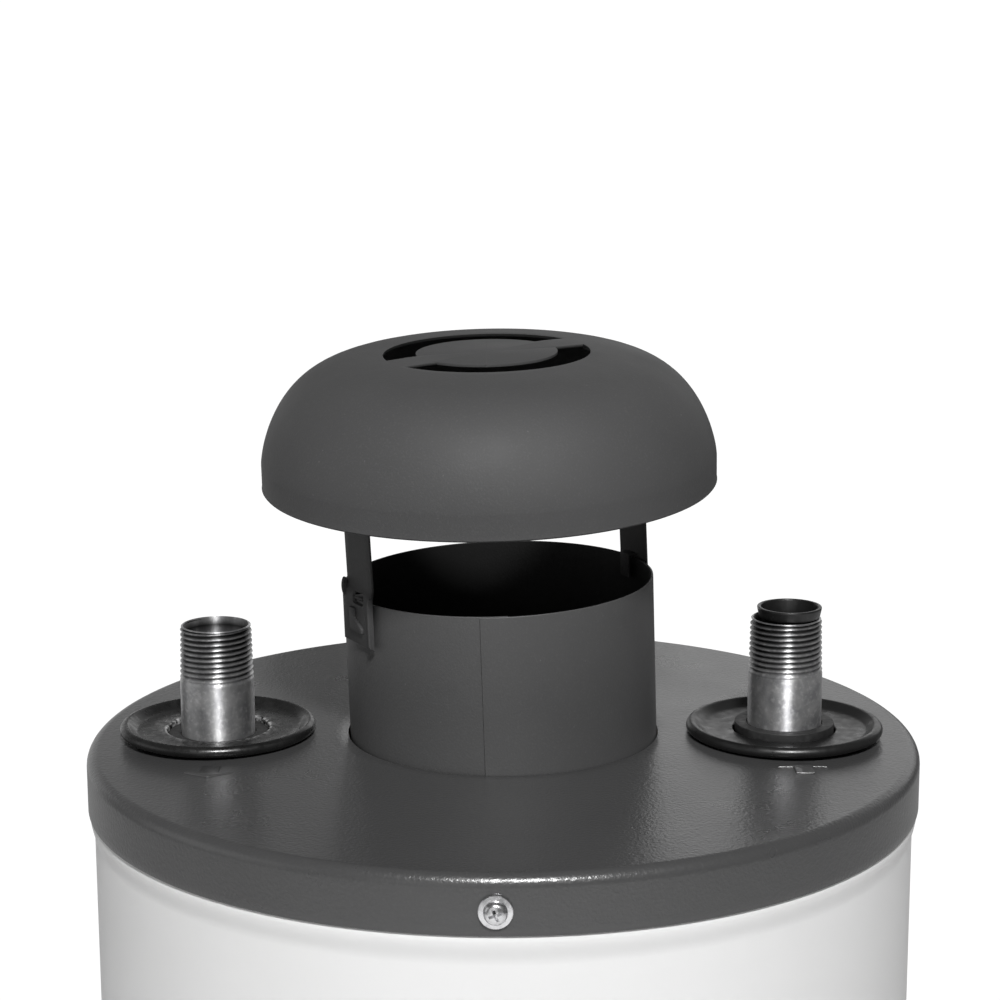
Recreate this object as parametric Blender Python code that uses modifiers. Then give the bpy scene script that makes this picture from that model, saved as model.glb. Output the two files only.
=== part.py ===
"""A small gas storage water heater with a natural-draught hood, as separate pieces.

Metres, +Z up, the floor at z = 0, the heater's own axis on Z and its front towards -Y.
A bearing is an angle about Z: 0 is the front, and 90 degrees is the +X side.
"""

import math

import bmesh
import bpy
from mathutils import Matrix, Vector

mm = 0.001

# Driving dimensions
RADIUS = 150 * mm  # top cover and base pan
FOOT_HEIGHT = 50 * mm
COVER_TOP = 760 * mm
COVER_DEPTH = 20 * mm
PAN_DEPTH = 25 * mm
CORNER = 6 * mm
SHEET = 0.8 * mm
GAP = 0.4 * mm  # clearance between neighbouring pieces

JACKET_R = 147.9 * mm
JACKET_BEAD_R = 149.6 * mm
JACKET_NECK_R = 148.2 * mm
JACKET_TOP = 755 * mm
JACKET_BOTTOM = 56 * mm

TANK_R = 125 * mm
TANK_WALL = 2 * mm
TANK_BOTTOM = 226 * mm
TANK_TOP = 715 * mm
SKIRT_R = 124.5 * mm
SKIRT_WALL = 1.5 * mm
SKIRT_TOP = 223 * mm
FLUE_R = 44.5 * mm
FLUE_TOP = 747.7 * mm

PIPE_PLACES = {
    "hot": Matrix.Translation((-103.6 * mm, -1.5 * mm, 0)),
    "cold": Matrix.Translation((101.9 * mm, -4.3 * mm, 0)),
}
PIPE_R = 13.335 * mm
PIPE_BORE_R = 10.45 * mm
HOT_TOP = COVER_TOP + 41.5 * mm
COLD_TOP = COVER_TOP + 44.2 * mm
THREAD_LENGTH = 20 * mm
GROMMET_R = 35.5 * mm
SEAL_R = 17.9 * mm

COLLAR_R = 55.7 * mm
COLLAR_HEIGHT = 59 * mm
COLLAR_LEAN = math.radians(1.75)

HOOD_R = 81.1 * mm
HOOD_RIM = 94.2 * mm  # rim height above the cover
HOOD_WALL = 9 * mm
HOOD_CROWN = 37.5 * mm
HOOD_SHEET = 0.9 * mm
HOOD_SHIFT = -4.6 * mm
HOOD_NOD = math.radians(4.1)
HOOD_LEAN = math.radians(1.0)
LEG_BEARINGS = {"left": math.radians(-61.5), "right": math.radians(118.5)}

VALVE_Z = 285 * mm
VALVE_BACK = 163 * mm
VALVE_FRONT = 218 * mm
DRAIN_BEARING = math.radians(-90)
DRAIN_Z = 258 * mm
RELIEF_BEARING = math.radians(90)
RELIEF_Z = 600 * mm

WINDOW_HALF = 42 * mm
WINDOW_LOW = 86 * mm
WINDOW_HIGH = 180 * mm
TUBE_SLOT_LEFT = -14 * mm
TUBE_SLOT_RIGHT = 38 * mm
TUBE_SLOT_LOW = 196 * mm
TUBE_SLOT_HIGH = 217 * mm

BIG = 30  # sides of a large turned piece
MID = 20
SMALL = 12
TOOL_TWIST = math.radians(7)

# Scene

for old in list(bpy.data.objects):
    bpy.data.objects.remove(old)

parts = bpy.data.collections.new("tank_water_heater")
helpers = bpy.data.collections.new("cutters")
bpy.context.scene.collection.children.link(parts)
bpy.context.scene.collection.children.link(helpers)


def material(name, colour, roughness, metallic):
    made = bpy.data.materials.new(name)
    made.use_nodes = True
    shader = made.node_tree.nodes["Principled BSDF"]
    shader.inputs["Base Color"].default_value = (*colour, 1)
    shader.inputs["Roughness"].default_value = roughness
    shader.inputs["Metallic"].default_value = metallic
    return made


GREY_PAINT = material("grey_paint", (0.07, 0.07, 0.072), 0.4, 0.0)
WHITE_PAINT = material("white_paint", (0.86, 0.86, 0.86), 0.35, 0.0)
GALVANISED = material("galvanised", (0.5, 0.5, 0.5), 0.35, 1.0)
BARE_STEEL = material("bare_steel", (0.3, 0.3, 0.31), 0.45, 1.0)
CAST_IRON = material("cast_iron", (0.1, 0.1, 0.1), 0.6, 0.8)
ZINC = material("zinc", (0.7, 0.7, 0.7), 0.25, 1.0)
BRASS = material("brass", (0.65, 0.5, 0.22), 0.35, 1.0)
COPPER = material("copper", (0.7, 0.35, 0.2), 0.3, 1.0)
ALUMINIUM = material("aluminium", (0.75, 0.75, 0.76), 0.35, 1.0)
MAGNESIUM = material("magnesium", (0.6, 0.6, 0.58), 0.5, 1.0)
BLACK_PLASTIC = material("black_plastic", (0.02, 0.02, 0.02), 0.35, 0.0)
RED_PLASTIC = material("red_plastic", (0.5, 0.03, 0.02), 0.4, 0.0)
RUBBER = material("rubber", (0.015, 0.015, 0.015), 0.7, 0.0)
FOAM = material("foam", (0.8, 0.68, 0.4), 0.9, 0.0)


# Modelling helpers


def add(name, mesh, look, frame):
    obj = bpy.data.objects.new(name, mesh)
    parts.objects.link(obj)
    obj.matrix_world = frame
    if look:
        mesh.materials.append(look)
    return obj


def from_bmesh(name, shape, look, frame):
    mesh = bpy.data.meshes.new(name)
    shape.to_mesh(mesh)
    shape.free()
    return add(name, mesh, look, frame)


def turned(name, profile, look, steps=MID, frame=Matrix()):
    """Turns (radius, height) points, given top first on the outside, about the frame's Z axis."""
    closed = profile[0][0] > 0
    mesh = bpy.data.meshes.new(name)
    edges = [(i, i + 1) for i in range(len(profile) - 1)]
    if closed:
        edges.append((len(profile) - 1, 0))
    mesh.from_pydata([(r, 0, z) for r, z in profile], edges, [])
    obj = add(name, mesh, look, frame)
    screw = obj.modifiers.new("turn", "SCREW")
    screw.steps = steps
    screw.render_steps = steps
    screw.use_merge_vertices = True
    screw.merge_threshold = 0.00001
    screw.use_smooth_shade = False
    return obj


def ring(name, inner, outer, low, high, look, steps=MID, frame=Matrix()):
    profile = [(inner, high), (outer, high), (outer, low), (inner, low)]
    return turned(name, profile, look, steps, frame)


def rod(name, radius, low, high, look=None, steps=SMALL, frame=Matrix()):
    """A solid cylinder; one with no look is a tool, turned so that none of its corners meets an edge."""
    profile = [(0, high), (radius, high), (radius, low), (0, low)]
    if not look:
        frame = frame @ Matrix.Rotation(TOOL_TWIST, 4, "Z")
    return turned(name, profile, look, steps, frame)


def stepped_bore(name, steps, frame):
    """A drill of several widths, each a (radius, top, bottom), the highest first."""
    profile = [(0, steps[0][1])]
    for radius, top, bottom in steps:
        profile += [(radius, top), (radius, bottom)]
    profile.append((0, steps[-1][2]))
    return turned(name, profile, None, SMALL, frame @ Matrix.Rotation(TOOL_TWIST, 4, "Z"))


def block(name, low, high, look=None, frame=Matrix()):
    """A box between two corners."""
    low = Vector(low)
    high = Vector(high)
    shape = bmesh.new()
    bmesh.ops.create_cube(shape, size=1)
    bmesh.ops.scale(shape, vec=high - low, verts=shape.verts)
    bmesh.ops.translate(shape, vec=(low + high) / 2, verts=shape.verts)
    return from_bmesh(name, shape, look, frame)


def sheet(name, rows, thickness, look, frame=Matrix()):
    """Rows of points joined into one open surface, then thickened about its middle."""
    shape = bmesh.new()
    grid = [[shape.verts.new(point) for point in row] for row in rows]
    for lower, upper in zip(grid, grid[1:]):
        for i in range(len(lower) - 1):
            shape.faces.new((lower[i], lower[i + 1], upper[i + 1], upper[i]))
    obj = from_bmesh(name, shape, look, frame)
    thick = obj.modifiers.new("thickness", "SOLIDIFY")
    thick.thickness = thickness
    thick.offset = 0
    return obj


def tube(name, points, radius, look):
    """A round tube along points, with its ends closed."""
    curve = bpy.data.curves.new(name, "CURVE")
    curve.dimensions = "3D"
    curve.bevel_depth = radius
    curve.bevel_resolution = 2
    curve.use_fill_caps = True
    spline = curve.splines.new("POLY")
    spline.points.add(len(points) - 1)
    for target, point in zip(spline.points, points):
        target.co = (*point, 1)
    return add(name, curve, look, Matrix())


MANIFOLD_BODIES = ("relief_valve_body", "drain_valve_body")  # crossing bores, which EXACT leaves open


def boolean(obj, other, operation):
    step = obj.modifiers.new(other.name, "BOOLEAN")
    step.operation = operation
    if obj.name in MANIFOLD_BODIES:
        step.solver = "MANIFOLD"
    step.object = other
    if other.name in parts.objects:
        parts.objects.unlink(other)
        helpers.objects.link(other)
    other.hide_render = True
    other.display_type = "WIRE"


def cut(obj, *cutters):
    for cutter in cutters:
        boolean(obj, cutter, "DIFFERENCE")


def join(obj, *others):
    for other in others:
        boolean(obj, other, "UNION")


def outward(bearing, height, distance=0.0):
    """A frame whose Z axis points out of the heater at a bearing."""
    place = Matrix.Translation((0, -distance, height))
    return Matrix.Rotation(bearing, 4, "Z") @ place @ Matrix.Rotation(math.pi / 2, 4, "X")


def upright(bearing, distance, height=0.0):
    """A frame with Z up, at a distance from the heater's axis."""
    return Matrix.Rotation(bearing, 4, "Z") @ Matrix.Translation((0, -distance, height))


def arc(centre_r, centre_z, radius, start, end, steps):
    points = []
    for i in range(steps + 1):
        angle = math.radians(start + (end - start) * i / steps)
        points.append((centre_r + radius * math.cos(angle), centre_z + radius * math.sin(angle)))
    return points


def rounded(points, radius, steps=3):
    """Points with an arc, as a quadratic curve, in place of each corner."""
    points = [Vector(p) for p in points]
    route = [points[0]]
    for before, corner, after in zip(points, points[1:], points[2:]):
        start = corner + (before - corner).normalized() * radius
        end = corner + (after - corner).normalized() * radius
        for i in range(steps + 1):
            t = i / steps
            route.append(start * (1 - t) ** 2 + corner * 2 * t * (1 - t) + end * t**2)
    route.append(points[-1])
    return route


def pan_profile(hole, radius, depth, thickness):
    """A dished pan seen in section, its flat face at height 0 and its rim pointing down."""
    inner = radius - thickness
    outer_corner = arc(radius - CORNER, -CORNER, CORNER, 90, 0, 2)
    inner_corner = arc(radius - CORNER, -CORNER, CORNER - thickness, 0, 90, 2)
    rim = [(radius, -depth), (inner, -depth)]
    return [(hole, 0), *outer_corner, *rim, *inner_corner, (hole, -thickness)]


# Base, combustion chamber and doors


def base_pan():
    hole = 30 * mm
    section = pan_profile(hole, RADIUS, PAN_DEPTH, 1 * mm)
    flipped = [(r, -z) for r, z in reversed(section)]
    pan = turned("base_pan", flipped, GREY_PAINT, BIG, Matrix.Translation((0, 0, FOOT_HEIGHT)))
    low = FOOT_HEIGHT - 5 * mm
    for i in range(6):
        place = upright(math.radians(35 + 60 * i), 85 * mm)
        cut(pan, rod(f"air_hole_{i}", 9 * mm, low, low + 10 * mm, None, SMALL, place))


def feet():
    stance = 118 * mm
    top = FOOT_HEIGHT - GAP
    profile = [
        (0, top),
        (20 * mm, top),
        (20 * mm, top - 4 * mm),
        (13 * mm, top - 9 * mm),
        (12 * mm, 9 * mm),
        (18 * mm, 4 * mm),
        (18 * mm, 0),
        (0, 0),
    ]
    for name, bearing in (("left", -60), ("right", 60), ("back", 180)):
        place = upright(math.radians(bearing), stance)
        turned(f"foot_{name}", profile, BLACK_PLASTIC, SMALL, place)


def combustion_skirt():
    low = FOOT_HEIGHT + 2 * mm
    skirt = ring("combustion_skirt", SKIRT_R - SKIRT_WALL, SKIRT_R, low, SKIRT_TOP, BARE_STEEL, BIG)
    front = -140 * mm
    back = -100 * mm
    window = block("skirt_window", (-WINDOW_HALF, front, WINDOW_LOW), (WINDOW_HALF, back, WINDOW_HIGH))
    slot_low = (TUBE_SLOT_LEFT, front, TUBE_SLOT_LOW)
    slot = block("skirt_slot", slot_low, (TUBE_SLOT_RIGHT, back, TUBE_SLOT_HIGH))
    cut(skirt, window, slot)


def curved_panel(name, radius, half_angle, low, high, thickness, look):
    columns = 8
    bearings = [half_angle * (2 * i / columns - 1) for i in range(columns + 1)]
    rows = [[(radius * math.sin(b), -radius * math.cos(b), z) for b in bearings] for z in (low, high)]
    return sheet(name, rows, thickness, look)


def inner_door():
    low = WINDOW_LOW - 4 * mm
    high = WINDOW_HIGH + 4 * mm
    door = curved_panel("inner_door", 127 * mm, math.radians(23), low, high, 1 * mm, GALVANISED)
    tab = block("inner_door_tab", (-8 * mm, -135 * mm, 128 * mm), (8 * mm, -126.8 * mm, 129.5 * mm))
    join(door, tab)


def outer_door():
    radius = 149.1 * mm
    low = 77.5 * mm
    high = 190 * mm
    door = curved_panel("outer_door", radius, math.radians(22), low, high, 1 * mm, GREY_PAINT)
    for i in range(3):
        z = 104 * mm + 14 * mm * i
        louvre = block(f"louvre_{i}", (-32 * mm, -160 * mm, z), (32 * mm, -140 * mm, z + 4 * mm))
        cut(door, louvre)
    lip = block("door_lip", (-22 * mm, -157 * mm, 183 * mm), (22 * mm, -148.9 * mm, 184.5 * mm))
    join(door, lip)


# Burner


def burner():
    centre_z = 96 * mm
    profile = [
        (0, 150 * mm),
        (50 * mm, 148 * mm),
        (60 * mm, 141 * mm),
        (60 * mm, 128 * mm),
        (50 * mm, 120 * mm),
        (0, 120 * mm),
    ]
    turned("burner_head", profile, CAST_IRON, BIG)
    horn = [
        (0, 16 * mm),
        (9.5 * mm, 16 * mm),
        (9.5 * mm, 58 * mm),
        (15.5 * mm, 76 * mm),
        (17.5 * mm, 76 * mm),
        (13 * mm, 58 * mm),
        (13 * mm, -14 * mm),
        (0, -14 * mm),
    ]
    venturi = turned("burner_venturi", horn, CAST_IRON, SMALL, outward(0, centre_z))
    neck = rod("venturi_neck", 11 * mm, centre_z, 120 * mm - GAP, None)
    join(venturi, neck)
    orifice = [
        (0, 91 * mm),
        (7 * mm, 91 * mm),
        (7 * mm, 80 * mm),
        (4 * mm, 78 * mm),
        (4 * mm, 68 * mm),
        (0, 68 * mm),
    ]
    turned("burner_orifice", orifice, BRASS, SMALL, outward(0, centre_z))


def burner_bracket():
    reach = 52 * mm
    low = FOOT_HEIGHT + 2.5 * mm
    high = 118 * mm
    lip = 34 * mm
    section = [(-lip, high), (-reach, high), (-reach, low), (reach, low), (reach, high), (lip, high)]
    rows = [[(x, y, z) for x, z in section] for y in (-10 * mm, 10 * mm)]
    sheet("burner_bracket", rows, 2 * mm, GALVANISED)


def pilot():
    x = 20 * mm
    y = -72 * mm
    place = Matrix.Translation((x, y, 0))
    profile = [
        (0, 144 * mm),
        (4 * mm, 144 * mm),
        (6.5 * mm, 136 * mm),
        (5 * mm, 134 * mm),
        (5 * mm, 118 * mm),
        (0, 118 * mm),
    ]
    body = turned("pilot_burner", profile, BRASS, SMALL, place)
    shelf = block("pilot_shelf", (x - 8 * mm, y - 7 * mm, 124 * mm), (x + 18 * mm, y + 7 * mm, 125.5 * mm))
    foot_low = FOOT_HEIGHT + 1.5 * mm
    leg = block("pilot_leg", (x + 3 * mm, y + 5 * mm, foot_low), (x + 11 * mm, y + 6.5 * mm, 125 * mm))
    probe_place = Matrix.Translation((x + 12 * mm, y, 0))
    probe_hole = rod("thermocouple_hole", 2.5 * mm, 120 * mm, 130 * mm, None, SMALL, probe_place)
    join(body, shelf, leg)
    cut(body, probe_hole)


def gas_tubes():
    """The three lines that leave the control valve and pass back through the slot over the door."""
    valve_bottom = 240 * mm - GAP
    port_y = -188 * mm
    drop_y = -106 * mm
    pass_z = 207 * mm
    burner_end_y = -91 * mm - GAP
    pilot_y = -72 * mm
    burner_route = [
        (0, port_y, valve_bottom),
        (0, port_y, pass_z),
        (0, drop_y, pass_z),
        (0, drop_y, 96 * mm),
        (0, burner_end_y, 96 * mm),
    ]
    tube("burner_tube", rounded(burner_route, 12 * mm), 6.35 * mm, ALUMINIUM)
    pilot_route = [
        (20 * mm, port_y, valve_bottom),
        (20 * mm, port_y, pass_z),
        (20 * mm, drop_y, pass_z),
        (20 * mm, drop_y, 104 * mm),
        (20 * mm, pilot_y, 104 * mm),
        (20 * mm, pilot_y, 118 * mm - GAP),
    ]
    tube("pilot_tube", rounded(pilot_route, 8 * mm), 3 * mm, ALUMINIUM)
    thermocouple_route = [
        (32 * mm, port_y, valve_bottom),
        (32 * mm, port_y, pass_z),
        (32 * mm, drop_y, pass_z),
        (32 * mm, drop_y, 110 * mm),
        (32 * mm, pilot_y, 110 * mm),
        (32 * mm, pilot_y, 143 * mm),
    ]
    tube("thermocouple", rounded(thermocouple_route, 8 * mm), 1.8 * mm, COPPER)


# Tank


def side_spud(name, bearing, height, bore):
    wall = 4 * mm
    ring(name, bore, bore + wall, 119.5 * mm, 145.5 * mm, BARE_STEEL, SMALL, outward(bearing, height))


SPUD_BORE_LARGE = 10.9 * mm
SPUD_BORE_SMALL = 9.9 * mm
SHANK_START = 122 * mm  # where the valves' shanks start inside the spuds
SIDE_PORTS = {
    "control": (0.0, VALVE_Z, SPUD_BORE_LARGE),
    "drain": (DRAIN_BEARING, DRAIN_Z, SPUD_BORE_SMALL),
    "relief": (RELIEF_BEARING, RELIEF_Z, SPUD_BORE_LARGE),
}


def port_hole(owner, name, radius):
    """A round cutter through one wall, along a side port."""
    bearing, height, _ = SIDE_PORTS[name]
    return rod(f"{owner}_{name}_hole", radius, 100 * mm, 160 * mm, None, SMALL, outward(bearing, height))


def tank():
    shell = ring("tank_shell", TANK_R - TANK_WALL, TANK_R, TANK_BOTTOM, TANK_TOP, BARE_STEEL, BIG)
    for name, (bearing, height, bore) in SIDE_PORTS.items():
        side_spud(f"spud_{name}", bearing, height, bore)
        cut(shell, port_hole("shell", name, bore + 5.2 * mm))
    ring("flue_tube", FLUE_R - TANK_WALL, FLUE_R, 256 * mm, FLUE_TOP, BARE_STEEL, MID)


def head_section(eye_z, flange_z):
    """A dished head in section, with a hole for the flue in its middle and a flange pointing down."""
    eye = FLUE_R + 0.9 * mm
    rise = eye_z - flange_z
    flange_r = TANK_R - TANK_WALL - 0.5 * mm
    outer = [
        (eye, eye_z),
        (92 * mm, eye_z - 0.11 * rise),
        (115 * mm, eye_z - 0.38 * rise),
        (flange_r, eye_z - 0.78 * rise),
        (flange_r, flange_z),
    ]
    inner = [
        (flange_r - TANK_WALL, flange_z),
        (flange_r - TANK_WALL, eye_z - 0.8 * rise),
        (113.6 * mm, eye_z - 0.43 * rise),
        (91.4 * mm, eye_z - 0.11 * rise - TANK_WALL),
        (eye, eye_z - TANK_WALL),
    ]
    return outer + inner


ANODE_Y = 95 * mm


def heads():
    top = turned("tank_top_head", head_section(738 * mm, 700 * mm), BARE_STEEL, BIG)
    head_span = (690 * mm, 760 * mm)
    for name, place in PIPE_PLACES.items():
        cut(top, rod(f"head_{name}_hole", 16.1 * mm, *head_span, None, MID, place))
        ring(f"spud_{name}", PIPE_R + 0.4 * mm, 15.5 * mm, 716 * mm, 742 * mm, BARE_STEEL, MID, place)
    anode_place = Matrix.Translation((0, ANODE_Y, 0))
    cut(top, rod("head_anode_hole", 15.2 * mm, *head_span, None, SMALL, anode_place))
    turned("tank_bottom_head", head_section(264 * mm, TANK_BOTTOM + 1 * mm), BARE_STEEL, BIG)
    anode = [
        (0, 741 * mm),
        (14 * mm, 741 * mm),
        (14 * mm, 722 * mm),
        (9.5 * mm, 718 * mm),
        (9.5 * mm, 330 * mm),
        (0, 330 * mm),
    ]
    turned("anode_rod", anode, MAGNESIUM, SMALL, anode_place)


def flue_baffle():
    """A strip folded to and fro, which slows the flue gas."""
    low = 262 * mm
    high = 742 * mm
    folds = 12
    swing = 13 * mm
    half_width = 33 * mm
    rows = []
    for i in range(folds + 1):
        z = low + (high - low) * i / folds
        y = 0 if i in (0, folds) else swing * (-1) ** i
        rows.append([(-half_width, y, z), (half_width, y, z)])
    sheet("flue_baffle", rows, 1.2 * mm, BARE_STEEL)


def insulation():
    inner = TANK_R + 0.6 * mm
    outer = JACKET_R - 1.4 * mm
    side = ring("insulation_side", inner, outer, TANK_BOTTOM, 716 * mm, FOAM, BIG)
    for name, (_, _, bore) in SIDE_PORTS.items():
        cut(side, port_hole("foam", name, bore + 6 * mm))
    top = ring("insulation_top", 61 * mm, 143.5 * mm, 743 * mm, 757.5 * mm, FOAM, BIG)
    for name, place in PIPE_PLACES.items():
        cut(top, rod(f"foam_{name}_hole", 17 * mm, 730 * mm, 770 * mm, None, SMALL, place))


# Jacket and cover

SCREW_BEARINGS = {"front": -1.0, "left": -121.0, "right": 119.0}
SCREW_Z = COVER_TOP - 11.5 * mm


def screw_hole(owner, name, bearing):
    place = outward(math.radians(bearing), SCREW_Z)
    return rod(f"{owner}_hole_for_screw_{name}", 2.3 * mm, 140 * mm, 160 * mm, None, SMALL, place)


def jacket():
    low = JACKET_BOTTOM
    outside = [
        (JACKET_NECK_R, JACKET_TOP),
        (JACKET_NECK_R, 741 * mm),
        (JACKET_BEAD_R, 738 * mm),
        (JACKET_R, 728 * mm),
        (JACKET_R, low),
    ]
    inside = [(r - SHEET, z) for r, z in reversed(outside)]
    shell = turned("jacket", outside + inside, WHITE_PAINT, BIG)
    front = -160 * mm
    back = -120 * mm
    window = block("jacket_window", (-44 * mm, front, 84 * mm), (44 * mm, back, 184 * mm))
    slot = block("jacket_slot", (TUBE_SLOT_LEFT, front, 195 * mm), (TUBE_SLOT_RIGHT, back, 219 * mm))
    cut(shell, window, slot)
    cut(shell, port_hole("jacket", "control", 12.5 * mm))
    cut(shell, port_hole("jacket", "drain", 11.5 * mm))
    cut(shell, port_hole("jacket", "relief", 12.5 * mm))
    for name, bearing in SCREW_BEARINGS.items():
        cut(shell, screw_hole("jacket", name, bearing))


def top_cover():
    section = pan_profile(COLLAR_R + 1.2 * mm, RADIUS, COVER_DEPTH, SHEET)
    cover = turned("top_cover", section, GREY_PAINT, BIG, Matrix.Translation((0, 0, COVER_TOP)))
    for name, place in PIPE_PLACES.items():
        cut(cover, rod(f"cover_{name}_hole", 19 * mm, 740 * mm, 770 * mm, None, MID, place))
    for name, bearing in SCREW_BEARINGS.items():
        cut(cover, screw_hole("cover", name, bearing))


def cover_screws():
    """Pan-head sheet-metal screws with a washer face, driven in from the side."""
    seat = RADIUS + 0.3 * mm
    profile = [
        (0, seat + 3.4 * mm),
        (2.6 * mm, seat + 3.2 * mm),
        (3.75 * mm, seat + 2.1 * mm),
        (3.75 * mm, seat + 1.1 * mm),
        (5.5 * mm, seat + 0.8 * mm),
        (5.5 * mm, seat),
        (1.9 * mm, seat),
        (1.9 * mm, seat - 4.5 * mm),
        (0, seat - 6 * mm),
    ]
    for name, bearing in SCREW_BEARINGS.items():
        turned(f"cover_screw_{name}", profile, ZINC, SMALL, outward(math.radians(bearing), SCREW_Z))


# Pipes through the cover


def nipple(side, top):
    profile = [
        (PIPE_BORE_R, top),
        (PIPE_R - 1.0 * mm, top),
        (PIPE_R - 0.5 * mm, top - 0.8 * mm),
        (PIPE_R, top - THREAD_LENGTH),
        (PIPE_R, 725 * mm),
        (PIPE_BORE_R, 725 * mm),
    ]
    turned(f"nipple_{side}", profile, GALVANISED, MID, PIPE_PLACES[side])


def grommet(side):
    low = COVER_TOP + 0.3 * mm
    hole = SEAL_R + 0.5 * mm
    profile = [
        (hole, low + 2.7 * mm),
        (27 * mm, low + 2.0 * mm),
        (31 * mm, low + 3.2 * mm),
        (33.3 * mm, low + 5.4 * mm),
        (35 * mm, low + 4.4 * mm),
        (GROMMET_R, low + 2.6 * mm),
        (34.3 * mm, low),
        (hole, low),
    ]
    turned(f"grommet_{side}", profile, BLACK_PLASTIC, MID, PIPE_PLACES[side])


def pipes():
    nipple("hot", HOT_TOP)
    nipple("cold", COLD_TOP)
    bore = PIPE_R + 0.5 * mm
    low = COVER_TOP + 0.3 * mm
    for side, height in (("hot", 1.3 * mm), ("cold", 5.2 * mm)):
        ring(f"seal_ring_{side}", bore, SEAL_R, low, low + height, RUBBER, MID, PIPE_PLACES[side])
    grommet("hot")
    grommet("cold")
    outer = PIPE_BORE_R - 0.4 * mm
    inner = 8.8 * mm
    lip_low = COLD_TOP + 0.3 * mm
    lip_top = COLD_TOP + 4.2 * mm
    foot = 300 * mm
    profile = [
        (9.9 * mm, lip_top),
        (11.6 * mm, lip_top),
        (10.9 * mm, lip_low),
        (outer, lip_low),
        (outer, foot),
        (inner, foot),
        (inner, lip_low),
    ]
    turned("dip_tube", profile, BLACK_PLASTIC, MID, PIPE_PLACES["cold"])


# Flue collar and hood

COLLAR_FRAME = Matrix.Translation((0, 0, COVER_TOP)) @ Matrix.Rotation(-COLLAR_LEAN, 4, "Y")
HOOD_FRAME = (
    Matrix.Translation((HOOD_SHIFT, 0, COVER_TOP + HOOD_RIM))
    @ Matrix.Rotation(HOOD_NOD, 4, "X")
    @ Matrix.Rotation(-HOOD_LEAN, 4, "Y")
)


def flue_collar():
    foot = -8.2 * mm
    ring("flue_collar", COLLAR_R - SHEET, COLLAR_R, foot, COLLAR_HEIGHT, GREY_PAINT, BIG, COLLAR_FRAME)
    seat = FLUE_TOP + 0.5 * mm
    flange = 1.2 * mm
    profile = [
        (52.8 * mm, 765 * mm),
        (53.6 * mm, 765 * mm),
        (53.6 * mm, seat + flange),
        (60 * mm, seat + flange),
        (60 * mm, seat),
        (40 * mm, seat),
        (40 * mm, seat + flange),
        (52.8 * mm, seat + flange),
    ]
    turned("collar_base_ring", profile, GALVANISED, MID)


def crown_point(angle, thickness=0.0):
    """A point of the hood's section, on a superellipse; the angle runs from the wall to the top."""
    across = max(math.cos(angle), 0) ** 0.36
    up = math.sin(angle) ** 1.35
    return ((HOOD_R - thickness) * across, HOOD_WALL + (HOOD_CROWN - thickness) * up)


def crown_height(radius, thickness=0.0):
    """Height of the hood's surface above its rim, at a radius."""
    angle = math.acos((radius / (HOOD_R - thickness)) ** (1 / 0.36))
    return crown_point(angle, thickness)[1]


VENT_HALF_LENGTH = 36.6 * mm
VENT_HALF_WIDTH = 30.2 * mm
VENT_DISC_R = 25 * mm
VENT_BRIDGE = 12.6 * mm
VENT_BRIDGE_BEARING = math.radians(-62.5)


def vent_cutter(frame):
    """Two slots: what an oval leaves round a disc, less a bridge across it."""
    low = HOOD_WALL + 20 * mm
    high = HOOD_WALL + 60 * mm
    spare = 1 * mm
    oval = rod("vent_oval", VENT_HALF_LENGTH, low, high, None, BIG, frame)
    oval.matrix_world = frame @ Matrix.Scale(VENT_HALF_WIDTH / VENT_HALF_LENGTH, 4, (0, 1, 0))
    disc = rod("vent_disc", VENT_DISC_R, low - spare, high + spare, None, BIG, frame)
    half = VENT_BRIDGE / 2
    reach = 50 * mm
    turn = frame @ Matrix.Rotation(VENT_BRIDGE_BEARING, 4, "Z")
    bridge = block("vent_bridge", (-half, -reach, low - spare), (half, reach, high + spare), None, turn)
    cut(oval, disc, bridge)
    return oval


def hood_dome():
    angles = [math.radians(a) for a in (83, 68, 50, 30)]
    outside = [(0, HOOD_WALL + HOOD_CROWN)]
    outside += [crown_point(a) for a in angles]
    outside += [(HOOD_R, HOOD_WALL), (HOOD_R, 0)]
    inner = HOOD_R - HOOD_SHEET
    inside = [(inner, 0), (inner, HOOD_WALL)]
    inside += [crown_point(a, HOOD_SHEET) for a in reversed(angles)]
    inside.append((0, HOOD_WALL + HOOD_CROWN - HOOD_SHEET))
    dome = turned("hood_dome", outside + inside, GREY_PAINT, BIG, HOOD_FRAME)
    cut(dome, vent_cutter(HOOD_FRAME))


LEG_SHEET = 0.8 * mm
LEG_HALF = 9.5 * mm
LEG_FOOT_HALF = 11 * mm
LEG_FOOT_LOW = COLLAR_HEIGHT - 14.3 * mm
LEG_FOOT_HIGH = COLLAR_HEIGHT + 4.6 * mm
LEG_REACH = COLLAR_R + 1.1 * mm
LEG_STRAP_REACH = LEG_REACH - 2.1 * mm


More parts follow.
